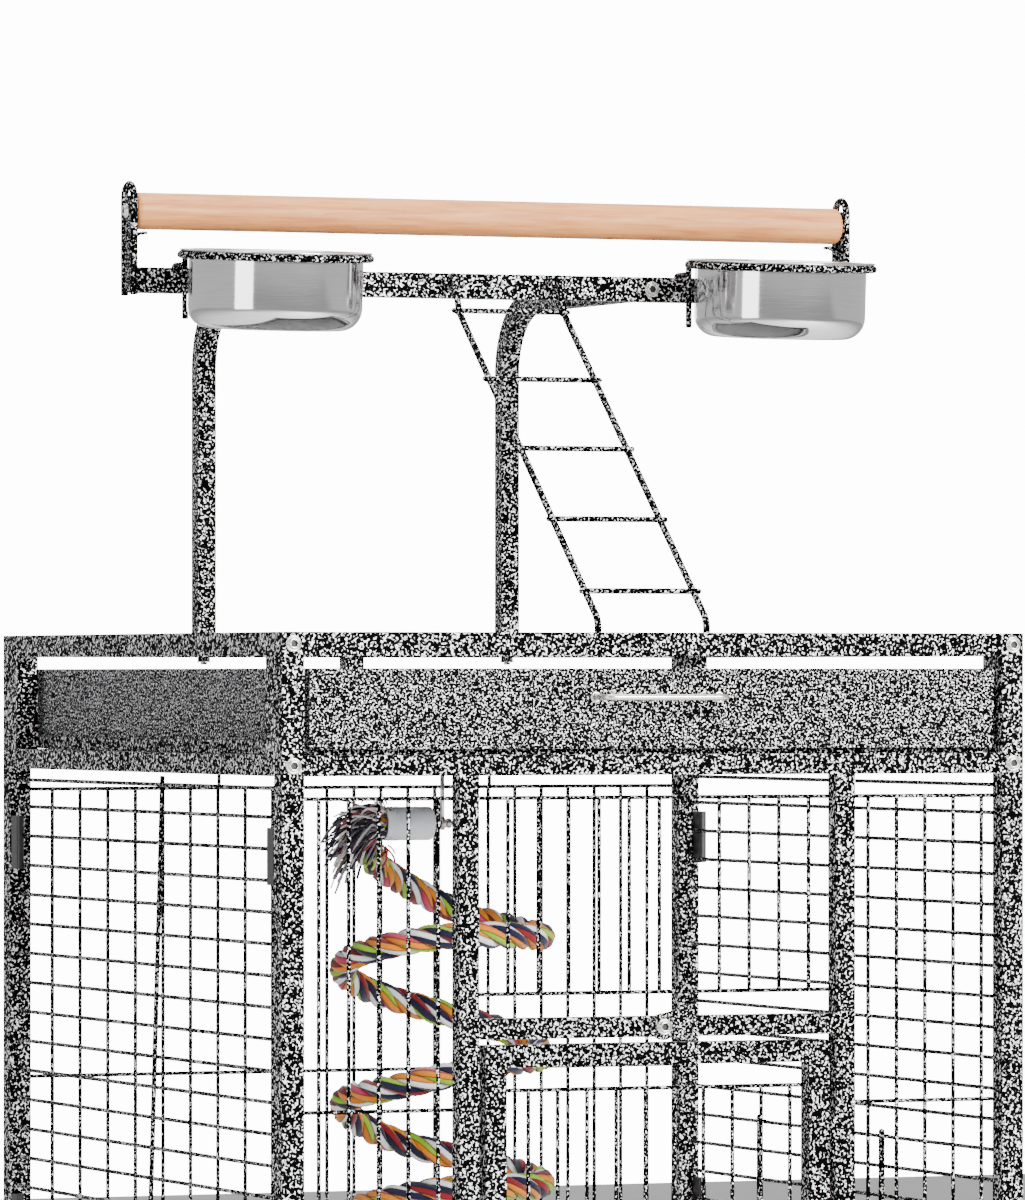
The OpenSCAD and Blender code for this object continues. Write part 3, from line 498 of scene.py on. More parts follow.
def coil(deg):
    """A point of the coil's centre line; seen from above it goes down clockwise."""
    k = 1
    while k < len(COIL_FALL) - 3 and COIL_FALL[k + 1][0] < deg:
        k += 1
    (a0, z0), (a1, z1), (a2, z2), (a3, z3) = COIL_FALL[k - 1:k + 3]
    t, w = (deg - a1) / (a2 - a1), a2 - a1
    m1, m2 = (z2 - z0) / (a2 - a0) * w, (z3 - z1) / (a3 - a1) * w
    fall = ((2 * t ** 3 - 3 * t * t + 1) * z1 + (t ** 3 - 2 * t * t + t) * m1
            + (3 * t * t - 2 * t ** 3) * z2 + (t ** 3 - t * t) * m2)
    a = math.radians(deg)
    return Vector((ROPE_X + ROPE_R * math.cos(a), ROPE_Y - ROPE_R * math.sin(a), CAP_Z - fall))


def rope_path():
    """The centre line: out of the cap, a tight bend, the coil, and straight down into the end cap."""
    a0, a1 = 302.0, 1368.0
    start = Vector((CAP_LEFT - 0.2, ROPE_Y, CAP_Z))
    turn, heading = start + Vector((-1, 12, -33)), Vector((0.70, 0.62, -0.34)).normalized()
    out = bezier(start, start + Vector((-25, 0, 0)), turn - heading * 22, turn, 20)
    first = coil(a0)
    d0 = (coil(a0 + 1) - first).normalized()
    out += bezier(turn, turn + heading * 35, first - d0 * 35, first, 24)[1:]
    steps = int((a1 - a0) / 4)
    out += [coil(a0 + (a1 - a0) * i / steps) for i in range(1, steps + 1)]
    last = out[-1]
    d1 = (last - out[-2]).normalized()
    end = Vector((ROPE_X + ROPE_R, ROPE_Y, ROPE_END + 0.2))
    return out + bezier(last, last + d1 * 42, end + Vector((0, 0, 46)), end, 18)[1:]


def resample(pts, step):
    """The same line with even steps, and its length."""
    total = sum((b - a).length for a, b in zip(pts, pts[1:]))
    n = max(2, round(total / step))
    out, i, done = [pts[0].copy()], 0, 0.0
    for k in range(1, n):
        want = total * k / n
        while done + (pts[i + 1] - pts[i]).length < want:
            done += (pts[i + 1] - pts[i]).length
            i += 1
        out.append(pts[i].lerp(pts[i + 1], (want - done) / (pts[i + 1] - pts[i]).length))
    out.append(pts[-1].copy())
    return out, total


def rope_piece(path, length):
    """Four strands round the centre line, each with six yarns that wind round it."""
    b = Build()
    strands, sides, yarns, twist, lay_length = 4, 20, 6, 68.0, 62.0
    strand_r, off_centre, squeeze = 5.0, 5.9, 0.10
    axes, n, step = frames(path), len(path), length / (len(path) - 1)
    for s in range(strands):
        base = len(b.points)
        for k, (p, (_, side, up)) in enumerate(zip(path, axes)):
            dist = k * step
            phi = 2 * math.pi * (dist / twist + s / strands)
            out_dir = side * math.cos(phi) + up * math.sin(phi)
            across = up * math.cos(phi) - side * math.sin(phi)
            pull = 1.0 - squeeze * max(0.0, 1 - min(dist, length - dist) / 10.0)
            # the strand's own cross-section leans with its lay
            lay = Quaternion(out_dir, -math.atan(2 * math.pi * 5.75 / twist))
            for i in range(sides):
                a = 2 * math.pi * i / sides
                bulge = 0.30 * math.cos(yarns * a + 2 * math.pi * yarns * dist / lay_length)
                off = lay @ (out_dir * math.cos(a) + across * math.sin(a))
                b.points.append(tuple(p + out_dir * off_centre * pull + off * (strand_r + bulge) * pull))
        for k in range(n - 1):
            here, there = base + k * sides, base + (k + 1) * sides
            y0, y1 = yarns * k * step / lay_length, yarns * (k + 1) * step / lay_length
            for i in range(sides):
                j = (i + 1) % sides
                u0, u1, v0, v1 = yarns * i / sides, yarns * (i + 1) / sides, i / sides, (i + 1) / sides
                b.face([here + i, here + j, there + j, there + i], s,
                       [(u0 + y0, v0), (u1 + y0, v1), (u1 + y1, v1), (u0 + y1, v0)])
        b.face([base + i for i in range(sides)][::-1], s)
        b.face([base + (n - 1) * sides + i for i in range(sides)], s)
    return b.piece("rope", YARNS, "rope", ("rope_lead", "rope_coil"), "rope", "yarn")


def tassel_piece():
    """The frayed end where the rope enters its cap: a broom, threads hanging under it, threads above it."""
    b, rnd, pick = Build(), random.uniform, random.choice
    broom = [DARK] * 4 + [PALE] * 3 + [RUBY] + [GREY] * 3 + [BROWN]
    for _ in range(260):
        z0, y0 = rnd(-11, 11), rnd(-11, 7)
        p0 = Vector((CAP_LEFT - rnd(0, 9), ROPE_Y + y0, CAP_Z + z0))
        size = rnd(20, 46)
        way = Vector((-1.0, rnd(-0.6, 0.25), rnd(-0.75, 0.45))).normalized() * size
        sag = rnd(0.1, 0.6) * size
        bend = Vector((rnd(-4, 4), rnd(-5, 3), rnd(-4, 4)))
        pts = bezier(p0, p0 + way * 0.35, p0 + way * 0.7 + bend, p0 + way + Vector((0, 0, -sag)), 8)
        tube(b, pts, rnd(1.2, 2.4), 6, pick(broom), round_end=True)
    for _ in range(34):
        p0 = Vector((CAP_LEFT - rnd(-3, 12), ROPE_Y + rnd(-9, 3), CAP_Z - rnd(16, 26)))
        way = Vector((rnd(-1.0, 0.9), rnd(-0.5, 0.1), -1.0)).normalized() * rnd(10, 24)
        pts = bezier(p0, p0 + way * 0.4 + Vector((rnd(-5, 5), -4, 0)), p0 + way * 0.8,
                     p0 + way + Vector((rnd(-4, 4), 0, 3)), 6)
        tube(b, pts, rnd(1.4, 2.2), 6, pick([PALE, RUBY, GREEN, GREEN, AMBER, AMBER, RUBY]), round_end=True)
    for _ in range(16):
        p0 = Vector((CAP_LEFT - rnd(0, 3), ROPE_Y + rnd(-9, 9), CAP_Z + rnd(6, 12)))
        reach, rise = rnd(-24, 12), rnd(5, 11)
        pts = bezier(p0, p0 + Vector((-4, 0, rise)), p0 + Vector((reach * 0.6, rnd(-4, 4), rise * 1.2)),
                     p0 + Vector((reach, rnd(-4, 4), rise * 0.5)), 8)
        tube(b, pts, rnd(1.0, 1.8), 6, pick([DARK, PALE, RUBY, GREY, BROWN]), round_end=True)
    return b.piece("rope_tassel", FRAY, "rope", (), "rope")


def cap_profile():
    """The cap's outline from its open end at 0 to its closed end, as a thick shell."""
    out_r, wall, r = CAP_D / 2, 1.6, 2.0
    inside = CAP_LEN - wall - 1
    return ([(out_r - 3.2, 0.6), (out_r - 0.8, 0.0), (out_r, 0.8), (out_r, CAP_LEN - r)]
            + [(out_r - r + r * math.cos(a), CAP_LEN - r + r * math.sin(a)) for a in (0.5, 1.0, 1.57)]
            + [(3.0, CAP_LEN), (2.4, CAP_LEN - 0.4), (2.4, inside), (out_r - 4, inside)])


def top_cap_piece():
    b = Build()
    out_r = CAP_D / 2
    lathe(b, cap_profile(), (CAP_LEFT, ROPE_Y, CAP_Z), "X", 56)
    for k in range(3):
        lathe(b, [(out_r + 0.1, 0), (out_r + 0.35, 0.4), (out_r + 0.1, 0.8), (out_r - 0.5, 0.4)],
              (CAP_LEFT + 4 + 3 * k, ROPE_Y, CAP_Z), "X", 56)
    tube(b, [(CAP_RIGHT - 6, ROPE_Y, CAP_Z), (CAP_RIGHT + 15.4, ROPE_Y, CAP_Z)], 4.0, 16, 1)
    lathe(b, [(2.0, 13.6), (3.7, 13.8), (4.0, 14.6), (4.0, 16.4), (3.6, 17.3), (0.4, 17.5), (0.4, 13.6)],
          (CAP_RIGHT, ROPE_Y, CAP_Z), "X", 24, 1)
    return b.piece("rope_cap_top", [WHITE, NICKEL], "rope", ("rope_top_cap",), "white_plastic")


def end_cap_piece():
    b = Build()
    lathe(b, [(r, -h) for r, h in cap_profile()][::-1], (ROPE_X + ROPE_R, ROPE_Y, ROPE_END), "Z", 56)
    return b.piece("rope_cap_end", [WHITE], "rope", ("rope_end_cap",), "white_plastic")


path, rope_len = resample(rope_path(), 2.6)
rope = rope_piece(path, rope_len)
tassel = tassel_piece()
caps = [top_cap_piece(), end_cap_piece()]


def hook():
    """An open eye over a roof bar and a closed eye round the cap's pin."""
    b, wire = Build(), 3.5
    bar_eye, pin_eye = BAR / 2 + 0.15 + wire / 2, 2.0 + 0.1 + wire / 2
    tube(b, ring_points((ROPE_X, ROPE_Y, ROOF_Z), bar_eye, "Y", 28, -90, 240), wire, 14, round_end=True)
    tube(b, [(ROPE_X, ROPE_Y, ROOF_Z - bar_eye), (ROPE_X, ROPE_Y, CAP_Z + pin_eye)], wire, 14)
    tube(b, ring_points((ROPE_X, ROPE_Y, CAP_Z), pin_eye, "X", 32), wire, 14, closed=True)
    b.piece("hook", [NICKEL], "rope_hook", ("rope_hook",), "nickel")


hook()


# ---------------------------------------------------------------- wire walls, grate and side doors
def wires(b, name, body, node):
    b.piece(name, [SHADED_WIRE_PAINT], body, (node,), "painted_frame")


def grille(b, xs, y, bottom, top, levels, x0, x1, depth):
    """Upright bars with level bars in front of them or behind, and a weld bead at each crossing."""
    for x in xs:
        tube(b, [(x, y, bottom), (x, y, top)], BAR)
    for z in levels:
        tube(b, [(x0, y + depth, z), (x1, y + depth, z)], BAR)
        for x in xs:
            bead(b, (x, y + depth / 2, z), 1.75)


def front_bars():
    b, y, bar_top = Build(), FRONT + 8, PANEL + BAR / 2
    for middle, x0, x1 in ((-231, -INNER, -167), (231, 167, INNER)):
        xs = [middle + k * PITCH for k in range(-2, 3)]
        grille(b, xs, y, FLOOR_BAR, bar_top, PANELS, x0, x1, CROSS_GAP)
    middle_bars = [k * 25.44 + 3.3 for k in range(-5, 6)]
    for low, high, levels in ((CROSS + 33.6, bar_top, [CROSS + 34.6, PANEL]),
                              (FLOOR_BAR, LOWBAR, [FLOOR_BAR + 14, LOWBAR - 12])):
        grille(b, middle_bars, y, low, high, levels, -151, 151, CROSS_GAP)
    wires(b, "front_bars", "cage", "front_grilles")


def back_bars():
    b, y, offset = Build(), BACK - 8, -2
    xs = [k * PITCH + offset for k in range(-11, 12)]
    grille(b, xs, y, FLOOR_BAR, PANEL + BAR / 2, PANELS, -INNER, INNER, -CROSS_GAP)
    for k in (-5, 5):
        x = k * PITCH + offset
        tube(b, [(x, y - CROSS_GAP, PANEL), (x, y - CROSS_GAP, SECOND)], BAR)
    wires(b, "back_bars", "cage", "back_grille")


STIFF_X = SIDE_X - 3.3


def level_bars(b, side, z, spans):
    for a, c in spans:
        tube(b, [(side * SIDE_X, a, z), (side * SIDE_X, c, z)], BAR)


def upright(b, side, y, z0, z1):
    tube(b, [(side * STIFF_X, y, z0), (side * STIFF_X, y, z1)], STIFF)


def right_bars():
    """Level bars, cut off at the nest door's opening, and three uprights inside them."""
    b, top_bars = Build(), 22
    y0, y1 = NEST_Y - NEST_W / 2 + 16, NEST_Y + NEST_W / 2 - 16
    for k in range(31):
        z, whole = bar_z(k), k < top_bars
        level_bars(b, 1, z, [(SIDE_FRONT, SIDE_BACK)] if whole else [(SIDE_FRONT, y0), (y1, SIDE_BACK)])
        for y in [CAGE_Y] if whole else [y0 + 1, y1 - 1]:
            bead(b, (SIDE_X - 1.7, y, z), 1.9)
    for y in (y0 + 1, y1 - 1):
        upright(b, 1, y, FLOOR_BAR, bar_z(top_bars - 1))
    upright(b, 1, CAGE_Y, bar_z(top_bars - 1), SECOND)
    wires(b, "right_bars", "cage", "right_side_bars")


def feeder_edge(s, e):
    """The front (e = -1) or back (e = 1) edge of a feeder opening."""
    return CAGE_Y + s * FEED_Y + e * (FEED_W / 2 - 16)


def left_bars():
    """Level bars, cut off at the two feeder openings, with short uprights there and one long leaning one."""
    b, lean = Build(), math.radians(4.6)
    mid, half_len = (SECOND + FLOOR_BAR) / 2, (SECOND - FLOOR_BAR - 3) / 2
    cut = [(SIDE_FRONT, feeder_edge(-1, -1)), (feeder_edge(-1, 1), feeder_edge(1, -1)),
           (feeder_edge(1, 1), SIDE_BACK)]
    for k in range(31):
        z = bar_z(k)
        level_bars(b, -1, z, cut if 25 <= k <= 27 else [(SIDE_FRONT, SIDE_BACK)])
        bead(b, (1.7 - SIDE_X, CAGE_Y - (z - mid) * math.tan(lean), z), 1.9)
    for s in (-1, 1):
        for e in (-1, 1):
            upright(b, -1, feeder_edge(s, e) - e, bar_z(28), bar_z(24))
    run, rise = math.sin(lean) * half_len, math.cos(lean) * half_len
    tube(b, [(-STIFF_X, CAGE_Y + run, mid - rise), (-STIFF_X, CAGE_Y - run, mid + rise)], STIFF)
    wires(b, "left_bars", "cage", "left_side_bars")


def roof_bars():
    b, columns = Build(), range(-11, 12)
    for k in columns:
        tube(b, [(k * PITCH, FRONT + RAIL, ROOF_Z), (k * PITCH, BACK - RAIL, ROOF_Z)], BAR)
    for y in (CAGE_Y - 200, CAGE_Y, CAGE_Y + 200):
        tube(b, [(-INNER, y, ROOF_Z + 3), (INNER, y, ROOF_Z + 3)], 3.6)
        for k in columns:
            bead(b, (k * PITCH, y, ROOF_Z + 1.5), 1.8)
    wires(b, "roof_bars", "cage", "roof_grille")


def grate():
    b, rim, gaps = Build(), 5.0, 24
    x, z = 289.0 - 2, BASE - 22 + rim / 2
    y0, y1 = FRONT + 4 + rim / 2, BACK - RAIL - 0.5 - rim / 2
    loop = [(-x, 0, z), (-x, y1, z), (x, y1, z), (x, y0, z), (-x, y0, z), (-x, 0, z)]
    tube(b, fillet(loop, 5)[:-1], rim, closed=True)
    for k in range(1, gaps):
        xx = -x + k * 2 * x / gaps
        tube(b, [(xx, y0, z + 0.8), (xx, y1, z + 0.8)], BAR)
    for y in (CAGE_Y - 160, CAGE_Y + 160):
        tube(b, [(-x, y, z - 1.2), (x, y, z - 1.2)], BAR)
    wires(b, "grate", "bottom_grate", "bottom_grate")


def door_bars():
    b, half = Build(), DOOR_W / 2 - DOOR_TUBE
    grille(b, [(i - 4.5) * PITCH + 4 for i in range(10)], FRONT + DOOR_TUBE / 2, DOOR_LOW + 34, DOOR_TOP - 34,
           [DOOR_TOP - 35.5, (DOOR_TOP + DOOR_LOW) / 2, DOOR_LOW + 35.5], -half, half, CROSS_GAP)
    wires(b, "door_bars", "door", "door_grille")


ROD, EYE_WIRE = 5.0, 2.5
EYE = ROD / 2 + 0.1 + EYE_WIRE / 2
ROD_IN = SIDE_X - BAR / 2 - EYE - EYE_WIRE / 2 - 1
ROD_OUT = SIDE_X + BAR / 2 + EYE + EYE_WIRE / 2 + 0.3
NEST_LOW, FEED_LOW = FLOOR_BAR + 3, bar_z(28) - 6


def lift_door(name, x, yc, z0, w, h, bars, node):
    """A wire frame with upright bars and four eyes on its two guide rods."""
    b = Build()
    y = w / 2 - EYE - 2 + 0.3
    loop = [(x, yc, z0), (x, yc + y, z0), (x, yc + y, z0 + h), (x, yc - y, z0 + h), (x, yc - y, z0),
            (x, yc, z0)]
    tube(b, fillet(loop, 6)[:-1], 4.0, closed=True)
    for k in range(1, bars + 1):
        yy = yc - y + 2 * y * k / (bars + 1)
        tube(b, [(x, yy, z0), (x, yy, z0 + h)], BAR)
        for z in (z0, z0 + h):
            bead(b, (x, yy, z), 2.2)
    for s in (-1, 1):
        for dz in (8, h - 8):
            tube(b, ring_points((x, yc + s * w / 2, z0 + dz), EYE, "Z", 28), EYE_WIRE, 10, closed=True)
    wires(b, name, node, node)


def guide(b, x, wall, y, z0, top):
    """A guide rod held to the wall by two stubs."""
    tube(b, [(x, y, z0 - 3), (x, y, top - 6), (x, y, top)], ROD, 16, round_end=True)
    for z in (z0 + 5.2, top - 6):
        tube(b, [(x, y, z), (wall, y, z)], 3.0)


def door_guides():
    b = Build()
    for s in (-1, 1):
        guide(b, ROD_IN, SIDE_X - 1.65, NEST_Y + s * NEST_W / 2, NEST_LOW, TOP - 403)
        for f in (-1, 1):
            guide(b, -ROD_OUT, -SIDE_X - 1.65, CAGE_Y + f * FEED_Y + s * FEED_W / 2, FEED_LOW, TOP - 580)
    wires(b, "door_guides", "cage", "side_door_guides")


FEEDERS = ((-1, "front"), (1, "back"))
FEED_CUP_X, FEED_RING_Z, FEED_RING_R = -SIDE_X + 65.3, bar_z(27) + 22, 54.5


def feeder_rings():
    """A ring for each feeder cup, on two legs along the wall."""
    b, leg_x, apart = Build(), -SIDE_X + BAR / 2 + 2.52, 30
    for s, _ in FEEDERS:
        yc = CAGE_Y + s * FEED_Y
        tube(b, ring_points((FEED_CUP_X, yc, FEED_RING_Z), FEED_RING_R, "Z", 72), 5.0, 14, closed=True)
        for y in (yc - apart, yc + apart):
            ring_x = FEED_CUP_X - math.sqrt(FEED_RING_R ** 2 - apart ** 2)
            leg = [(ring_x, y, FEED_RING_Z), (leg_x, y, FEED_RING_Z), (leg_x, y, bar_z(28) - 8)]
            tube(b, fillet(leg, 4), 5.0, 14)
    wires(b, "feeder_ring_wires", "cage", "feeder_rings")


front_bars()
back_bars()
right_bars()
left_bars()
roof_bars()
grate()
door_bars()
lift_door("nest_door_wires", ROD_IN, NEST_Y, NEST_LOW, NEST_W, 222.0, 9, "nest_door")
for s, word in FEEDERS:
    lift_door("feeder_wires_" + word, -ROD_OUT, CAGE_Y + s * FEED_Y, FEED_LOW, FEED_W, 112.0, 5,
              "feeder_door_" + word)
door_guides()
feeder_rings()

# ---------------------------------------------------------------- cups and their holders
CUP_X, CUP_Y, RING_Z, RING_R = 220.0, PLAY_Y - 86.2, TOP + 305, 75.5
HOOK_GAP = 2.6
LEG_Y = PLAY_Y - PLAY_HALF - HOOK_GAP


def sag(p):
    """A point of a level ring turned with the ring's sag about its hooks."""
    a = math.radians(4)
    y, z = p[1] - LEG_Y, p[2] - RING_Z
    return Vector((p[0], LEG_Y + y * math.cos(a) - z * math.sin(a),
                   RING_Z + y * math.sin(a) + z * math.cos(a)))


def holder(name, x, body):
    """A sagging ring with two legs, each with a hook over the crossbar."""
    b, apart = Build(), 50
    over, behind = CROSS_Z + PLAY_HALF + HOOK_GAP, PLAY_Y + PLAY_HALF + HOOK_GAP
    tube(b, [sag(p) for p in ring_points((x, CUP_Y, RING_Z), RING_R, "Z", 96)], 6.0, 16, closed=True)
    for lx in (x - apart, x + apart):
        join = sag((lx, CUP_Y + math.sqrt(RING_R ** 2 - apart ** 2), RING_Z))
        tube(b, fillet([join, (lx, LEG_Y, join.z), (lx, LEG_Y, CROSS_Z - 31)], 4), 5.0, 16)
        tube(b, fillet([(lx, LEG_Y, over - 0.01), (lx, behind, over), (lx, behind, CROSS_Z - 4)], 3), 5.0, 16)
        bead(b, (lx, LEG_Y, over), 2.7)
        bead(b, join, 3.3)
    wires(b, name, body, body.replace("holder", "cup_holder"))


def cup(name, at, d, h, flange, node, place=Vector):
    """A pressed bowl with a rolled lip; place may turn each of its points."""
    b = Build()
    r, bend, t = d / 2, 18.0, 0.9
    out = [(0.5, -h), (r * 0.3, -h), (r * 0.6, -h)]
    out += [(r - bend + bend * math.sin(a), bend - h - bend * math.cos(a)) for a in angles(0, 90, 6)]
    out += [(r, -8), (r, -2.5), (r + 0.6, -0.6), (r + 1.8, 0)]
    lip = [(r + flange - 1.0 + math.sin(a), 0.9 - 0.9 * math.cos(a)) for a in angles(0, 180, 30)]
    lip += [(r + 2.0, 1.8), (r + 0.4, 1.3), (r - t, 0.0), (r - t, -8)]
    inside = [(r - bend + (bend - t) * math.sin(a), bend - h - (bend - t) * math.cos(a))
              for a in angles(90, 0, -6)]
    inside += [(r * 0.6, t - h), (r * 0.3, t - h), (0.5, t - h)]
    lathe(b, out + lip + inside, at, "Z", 128)
    b.points = [tuple(place(p)) for p in b.points]
    b.piece(name, [STEEL], node, (node,), "stainless")


for s, word in ((-1, "left"), (1, "right")):
    holder("holder_wires_" + word, s * CUP_X, "holder_" + word)
    cup("steel_cup_" + word, (s * CUP_X, CUP_Y, RING_Z + 3.1), 140.0, 61.0, 7.0, "cup_" + word, sag)
for s, word in FEEDERS:
    cup("steel_feeder_" + word, (FEED_CUP_X, CAGE_Y + s * FEED_Y, FEED_RING_Z + 2.6), 100.0, 44.0, 6.0,
        "feeder_cup_" + word)


# ---------------------------------------------------------------- ladder, brackets, screws, handles and perch
def rung(k):
    return CAGE_Y - 13.3 - 66.8 * k, TOP + 260.3 - 57.4 * k


def ladder():
    """Two side wires with eyes on the crossbar's pins, bent upright at the feet, and five rungs on them."""
    b, rails, wire, foot_y = Build(), (-41, 51), 5.5, CAGE_Y - 304.5
    pin_y, pin_z, eye = PLAY_Y - PLAY_HALF - 8.5, CROSS_Z + 2.5, 2.0 + 0.08 + wire / 2
    y0, z0 = rung(0)
    for x in rails:
        tube(b, ring_points((x, pin_y, pin_z), eye, "X", 32), wire, 16, closed=True)
        tube(b, fillet([(x, pin_y - eye, pin_z), (x, y0 - 1, z0 + 1), (x, *rung(4)), (x, foot_y, TOP + 10),
                        (x, foot_y, TOP - 4.3)], 9), wire, 16)
    for y, z in (rung(k) for k in range(5)):
        tube(b, [(rails[0] - 6, y, z + 2), (rails[1] + 6, y, z + 2)], 4.5, 14, round_end=True)
        for x in rails:
            bead(b, (x, y + 0.8, z + 1.2), 3.1)
    wires(b, "ladder_wires", "ladder", "ladder")


def brackets():
    """At each end of the perch: a wire loop, a plate in it, three cross wires, and five prongs below."""
    b, loop_r, plate_r = Build(), 11, 6.4
    for side in (-1, 1):
        x, arc_z = side * HALF, TOP + 349
        arc = ring_points((x, PLAY_Y, arc_z), loop_r, "X", 20, 0, 180)
        ends = [(x, y, CROSS_Z - 12) for y in (PLAY_Y + loop_r, PLAY_Y - loop_r)]
        tube(b, [ends[0]] + arc + [ends[1]], 6.0, 16)
        for z in (CROSS_Z - 6, CROSS_Z + 6):
            for y in (-8, 8):
                bead(b, (x - side * 1.6, PLAY_Y + y, z), 2.0)
        top = [(PLAY_Y + plate_r * math.cos(a), PERCH_Z + 6 + plate_r * math.sin(a))
               for a in angles(0, 180, 15)]
        low = [(PLAY_Y + plate_r, CROSS_Z - 10), (PLAY_Y - plate_r, CROSS_Z - 10)]
        slab(b, [low[0]] + top + [low[1]], side * 314.2, side * 311.2, 0.6)
        for z in (PERCH_Z - 14, PERCH_Z + 2, CROSS_Z + 14):
            tube(b, [(side * 312.6, PLAY_Y - 10, z), (side * 312.6, PLAY_Y + 10, z)], 2.6, 10)
        for y in (-4.5, -2.25, 0, 2.25, 4.5):
            prong = [(side * (311.5 - u), PLAY_Y + y, PERCH_Z - 15.15 - w)
                     for u, w in ((0, 7.5), (2.5, 5.2), (5.5, 3.4), (9, 2.4), (12.5, 2.6))]
            tube(b, fillet(prong, 2), 2.4, 8, round_end=True)
    wires(b, "bracket_loops", "cage", "perch_brackets")


# a button head from its rim to its socket's floor: radius, share of the head's height, 1 inside the socket
HEAD = [(6.5, 0.34, 0), (6.25, 0.48, 0), (5.75, 0.57, 0), (5.2, 0.58, 0), (4.95, 0.46, 0), (4.7, 0.46, 0),
        (4.5, 0.74, 0), (4.1, 0.93, 0), (3.5, 1.0, 0), (3.1, 1.0, 1), (2.85, 0.9, 1), (2.8, 0.3, 1)]
HEAD_R = 6.5


def screw(b, at, facing, r=HEAD_R, h=3.0, shank=0.0):
    """A button head with a turned groove and a hexagon socket whose walls and floor are given painted shade;
    facing is -Y, +Y, -X or +X.
    """
    u, w = {"-Y": ((1, 0), (0, -1)), "+Y": ((-1, 0), (0, 1)),
            "+X": ((0, 1), (1, 0)), "-X": ((0, -1), (-1, 0))}[facing]
    n, base, sixth = 48, len(b.points), math.pi / 6
    under = [(3.0, -shank / h, 0), (3.0, 0.0, 0), (HEAD_R, 0.0, 0)] if shank else [(HEAD_R, 0.0, 0)]
    rings = under + HEAD
    for radius, up, hexagon in rings:
        for i in range(n):
            t = 2 * math.pi * i / n
            q = radius * r / HEAD_R
            if hexagon:
                q *= math.cos(sixth) / math.cos(t % (2 * sixth) - sixth)
            p, z = q * math.cos(t), q * math.sin(t)
            b.points.append((at[0] + u[0] * p + w[0] * up * h, at[1] + u[1] * p + w[1] * up * h, at[2] + z))
    last = len(rings) - 1
    # the last two bands and the floor, the socket's walls and floor, take the painted shade material
    for m in range(last):
        for i in range(n):
            a, c = base + m * n + i, base + m * n + (i + 1) % n
            b.face((a, c, c + n, a + n), mat=1 if m >= last - 1 else 0)
    b.face(tuple(base + last * n + i for i in range(n)), mat=1, smooth=False)
    b.face(tuple(base + i for i in range(n))[::-1], smooth=False)


def frame_screws():
    """Screws up the frame's corners, front and back, the latch's screw, and nuts on the side walls."""
    b = Build()
    for x in (-HALF + POST / 2, HALF - POST / 2):
        for z in (TOP - POST / 2, ROOF_Z, BASE + RAIL / 2, LOWER + RAIL / 2, SHELF + RAIL / 2):
            screw(b, (x, FRONT, z), "-Y")
            screw(b, (x, BACK, z), "+Y")
    screw(b, (2, FRONT - 4.2, CROSS + RAIL / 2), "-Y", HEAD_R, 3.4, 4.2)
    for y, k in ((CAGE_Y + 175, 18), (CAGE_Y + 262, 24)):
        z = (bar_z(k) + bar_z(k + 1)) / 2
        nut = [(y + 5.5 * math.cos(a), z + 5.5 * math.sin(a)) for a in angles(0, 300, 60)]
        for side in (-1, 1):
            x = side * (SIDE_X + 1.62)
            washer = [(2.5, -3.4), (2.5, 0), (14.2, 0), (15, 0.6), (15, 1.4), (14.4, 2.0), (3, 2.0), (3, 2.2)]
            lathe(b, washer, (x, y, z), "X" if side > 0 else "-X", 40)
            slab(b, nut, x + side * 2, x + side * 6, 0.5)
    b.piece("screw_heads", [NICKEL, SOCKET_SHADE], "cage", ("frame_screws",), "nickel")


def playtop_bolts():
    b, tube_x = Build(), 138
    nut = [(3.0, -2.0), (3.0, 0.0), (6.6, 0.0), (6.6, 0.8), (5.6, 0.8), (5.6, 3.6), (5.2, 4.0), (0.4, 4.0)]
    for side in (-1, 1):
        screw(b, (side * tube_x, PLAY_Y - PLAY_HALF, CROSS_Z), "-Y")
        screw(b, (side * 314.5, PLAY_Y, PERCH_Z), "+X" if side > 0 else "-X", 6.0, 4.0)
        lathe(b, nut, (side * tube_x, BACK - POST / 2, TOP - POST - 4), "Z", 6)
    b.piece("playtop_bolt_heads", [NICKEL, SOCKET_SHADE], "cage", ("playtop_bolts",), "nickel")


def handle(name, tray_bottom, body, node):
    """A bow of round wire on two small collars."""
    b, half, z = Build(), 52, tray_bottom + 39.7
    y, out = FRONT + 3.95, FRONT - 17.5
    tube(b, fillet([(-half, y, z), (-half, out, z), (half, out, z), (half, y, z)], 9, 8), 5.0, 18)
    for x in (-half, half):
        lathe(b, [(2.4, 0.0), (4.6, 0.0), (4.6, -0.8), (4.0, -1.3), (2.4, -1.4)], (x, y, z), "Y", 24)
    b.piece(name, [NICKEL], body, (node,), "nickel")


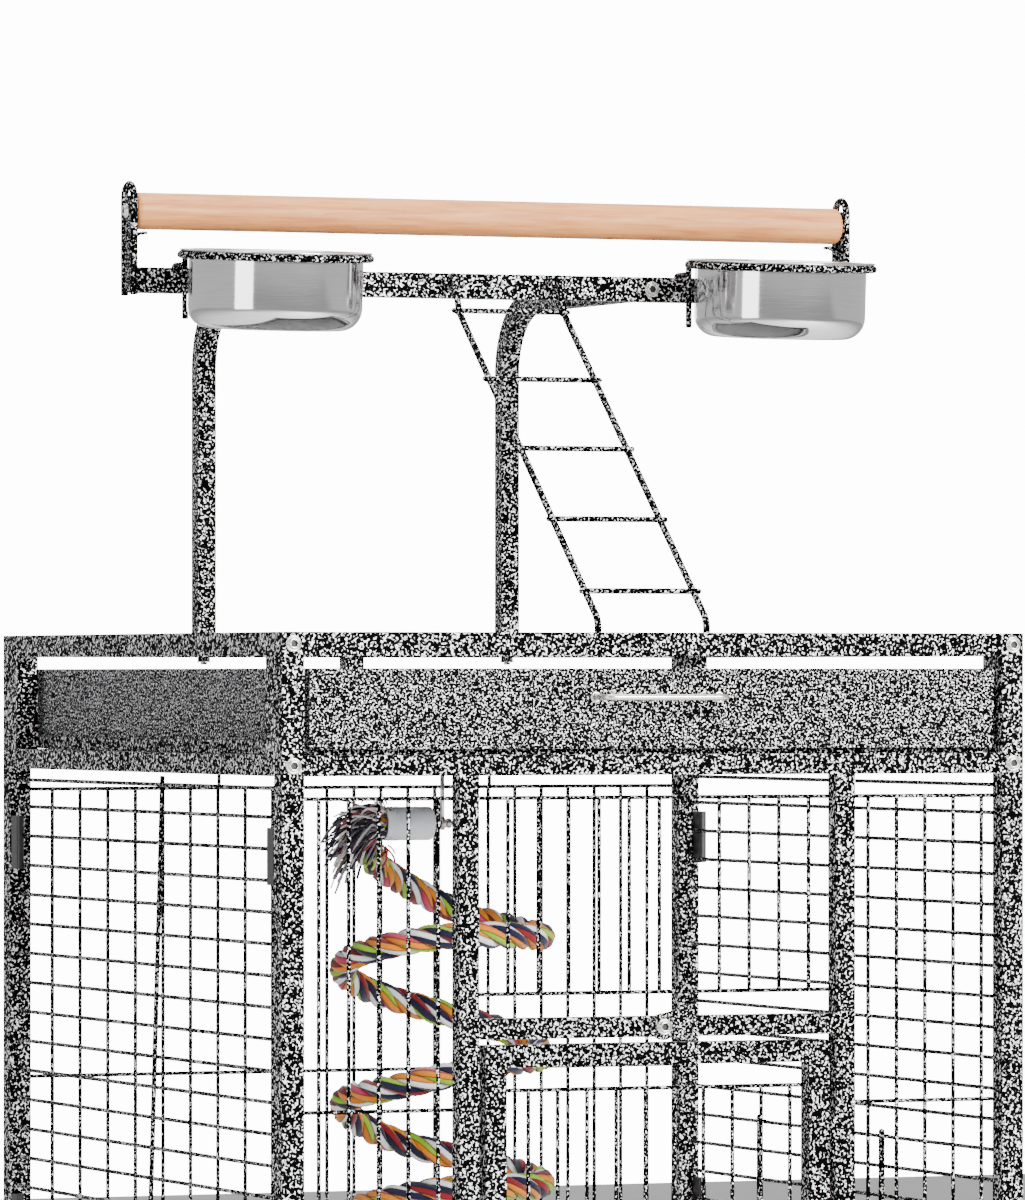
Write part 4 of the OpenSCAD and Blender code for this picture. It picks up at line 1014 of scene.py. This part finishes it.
def perch():
    b, half, r, e = Build(), 309.5, 14.75, 4.0
    left = [(r - e + e * math.sin(a), -half + e - e * math.cos(a)) for a in angles(0, 90, 10)]
    right = [(r - e + e * math.sin(a), half - e - e * math.cos(a)) for a in angles(90, 180, 10)]
    outline = [(0.3, -half)] + left + [(r, x) for x in range(-300, 301, 60)] + right + [(0.3, half)]
    lathe(b, outline, (0, PLAY_Y, PERCH_Z), "X", closed=False)
    b.piece("perch_wood", [BEECH], "cage", ("wood_perch",), "beech")


ladder()
brackets()
frame_screws()
playtop_bolts()
handle("handle_top", SECOND + RAIL + 4.6, "top_tray", "top_tray_handle")
handle("handle_bottom", LOWER + RAIL + 2.6, "bottom_tray", "bottom_tray_handle")
perch()

# ---------------------------------------------------------------- finishes of the CAD pieces that stay
FINISH = {"painted_frame": PAINT, "nickel": NICKEL, "stainless": STEEL, "beech": BEECH,
          "black_plastic": BLACK, "white_plastic": WHITE, "tyre": TYRE, "rope": YARNS[0]}
SHEETS = ("top_tray", "bottom_tray", "storage_shelf", "door_latch")
ROUNDED = ("front_frame", "back_frame", "left_side_frame", "right_side_frame", "door_frame",
           "playtop_crossbar", "playtop_tube_left", "playtop_tube_right", "door_latch", "panel_clips")


def round_edges(ob):
    bevel = ob.modifiers.new("edges", "BEVEL")
    bevel.width, bevel.segments, bevel.limit_method = 0.0012, 3, "ANGLE"
    bevel.angle_limit = math.radians(50)
    bevel.harden_normals = True
    bevel.use_clamp_overlap = True
    return bevel


for row in frame["record"]["subparts"]:
    node = row["node"]
    ob = frame["nodes"][node]
    mat = PAINT_SHEET if node in SHEETS else FINISH[row["material_slot"]]
    for held in ob.material_slots:
        held.material = mat
    if node in ROUNDED:
        bevel = round_edges(ob)
        if mat is PAINT:
            # painted shade along the rounded edges: fewer and dimmer veins make them darker than the faces
            ob.data.materials.append(EDGE_SHADE_PAINT)
            bevel.material = 1

# ---------------------------------------------------------------- floor
half = 14000 * MM
mesh = bpy.data.meshes.new("floor")
mesh.from_pydata([(-half, -half, 0), (half, -half, 0), (half, half, 0), (-half, half, 0)], [], [(0, 1, 2, 3)])
stone = Mat("floor", Roughness=0.75, Specular_IOR_Level=0.2)
stone.set(Base_Color=stone.ramp(stone.noise(stone.coords(), 3.0), [(0.3, 0.86), (0.7, 0.89)]))
mesh.materials.append(stone.material)
floor = bpy.data.objects.new("floor", mesh)
floor.location.z = -0.0005
bpy.context.collection.objects.link(floor)
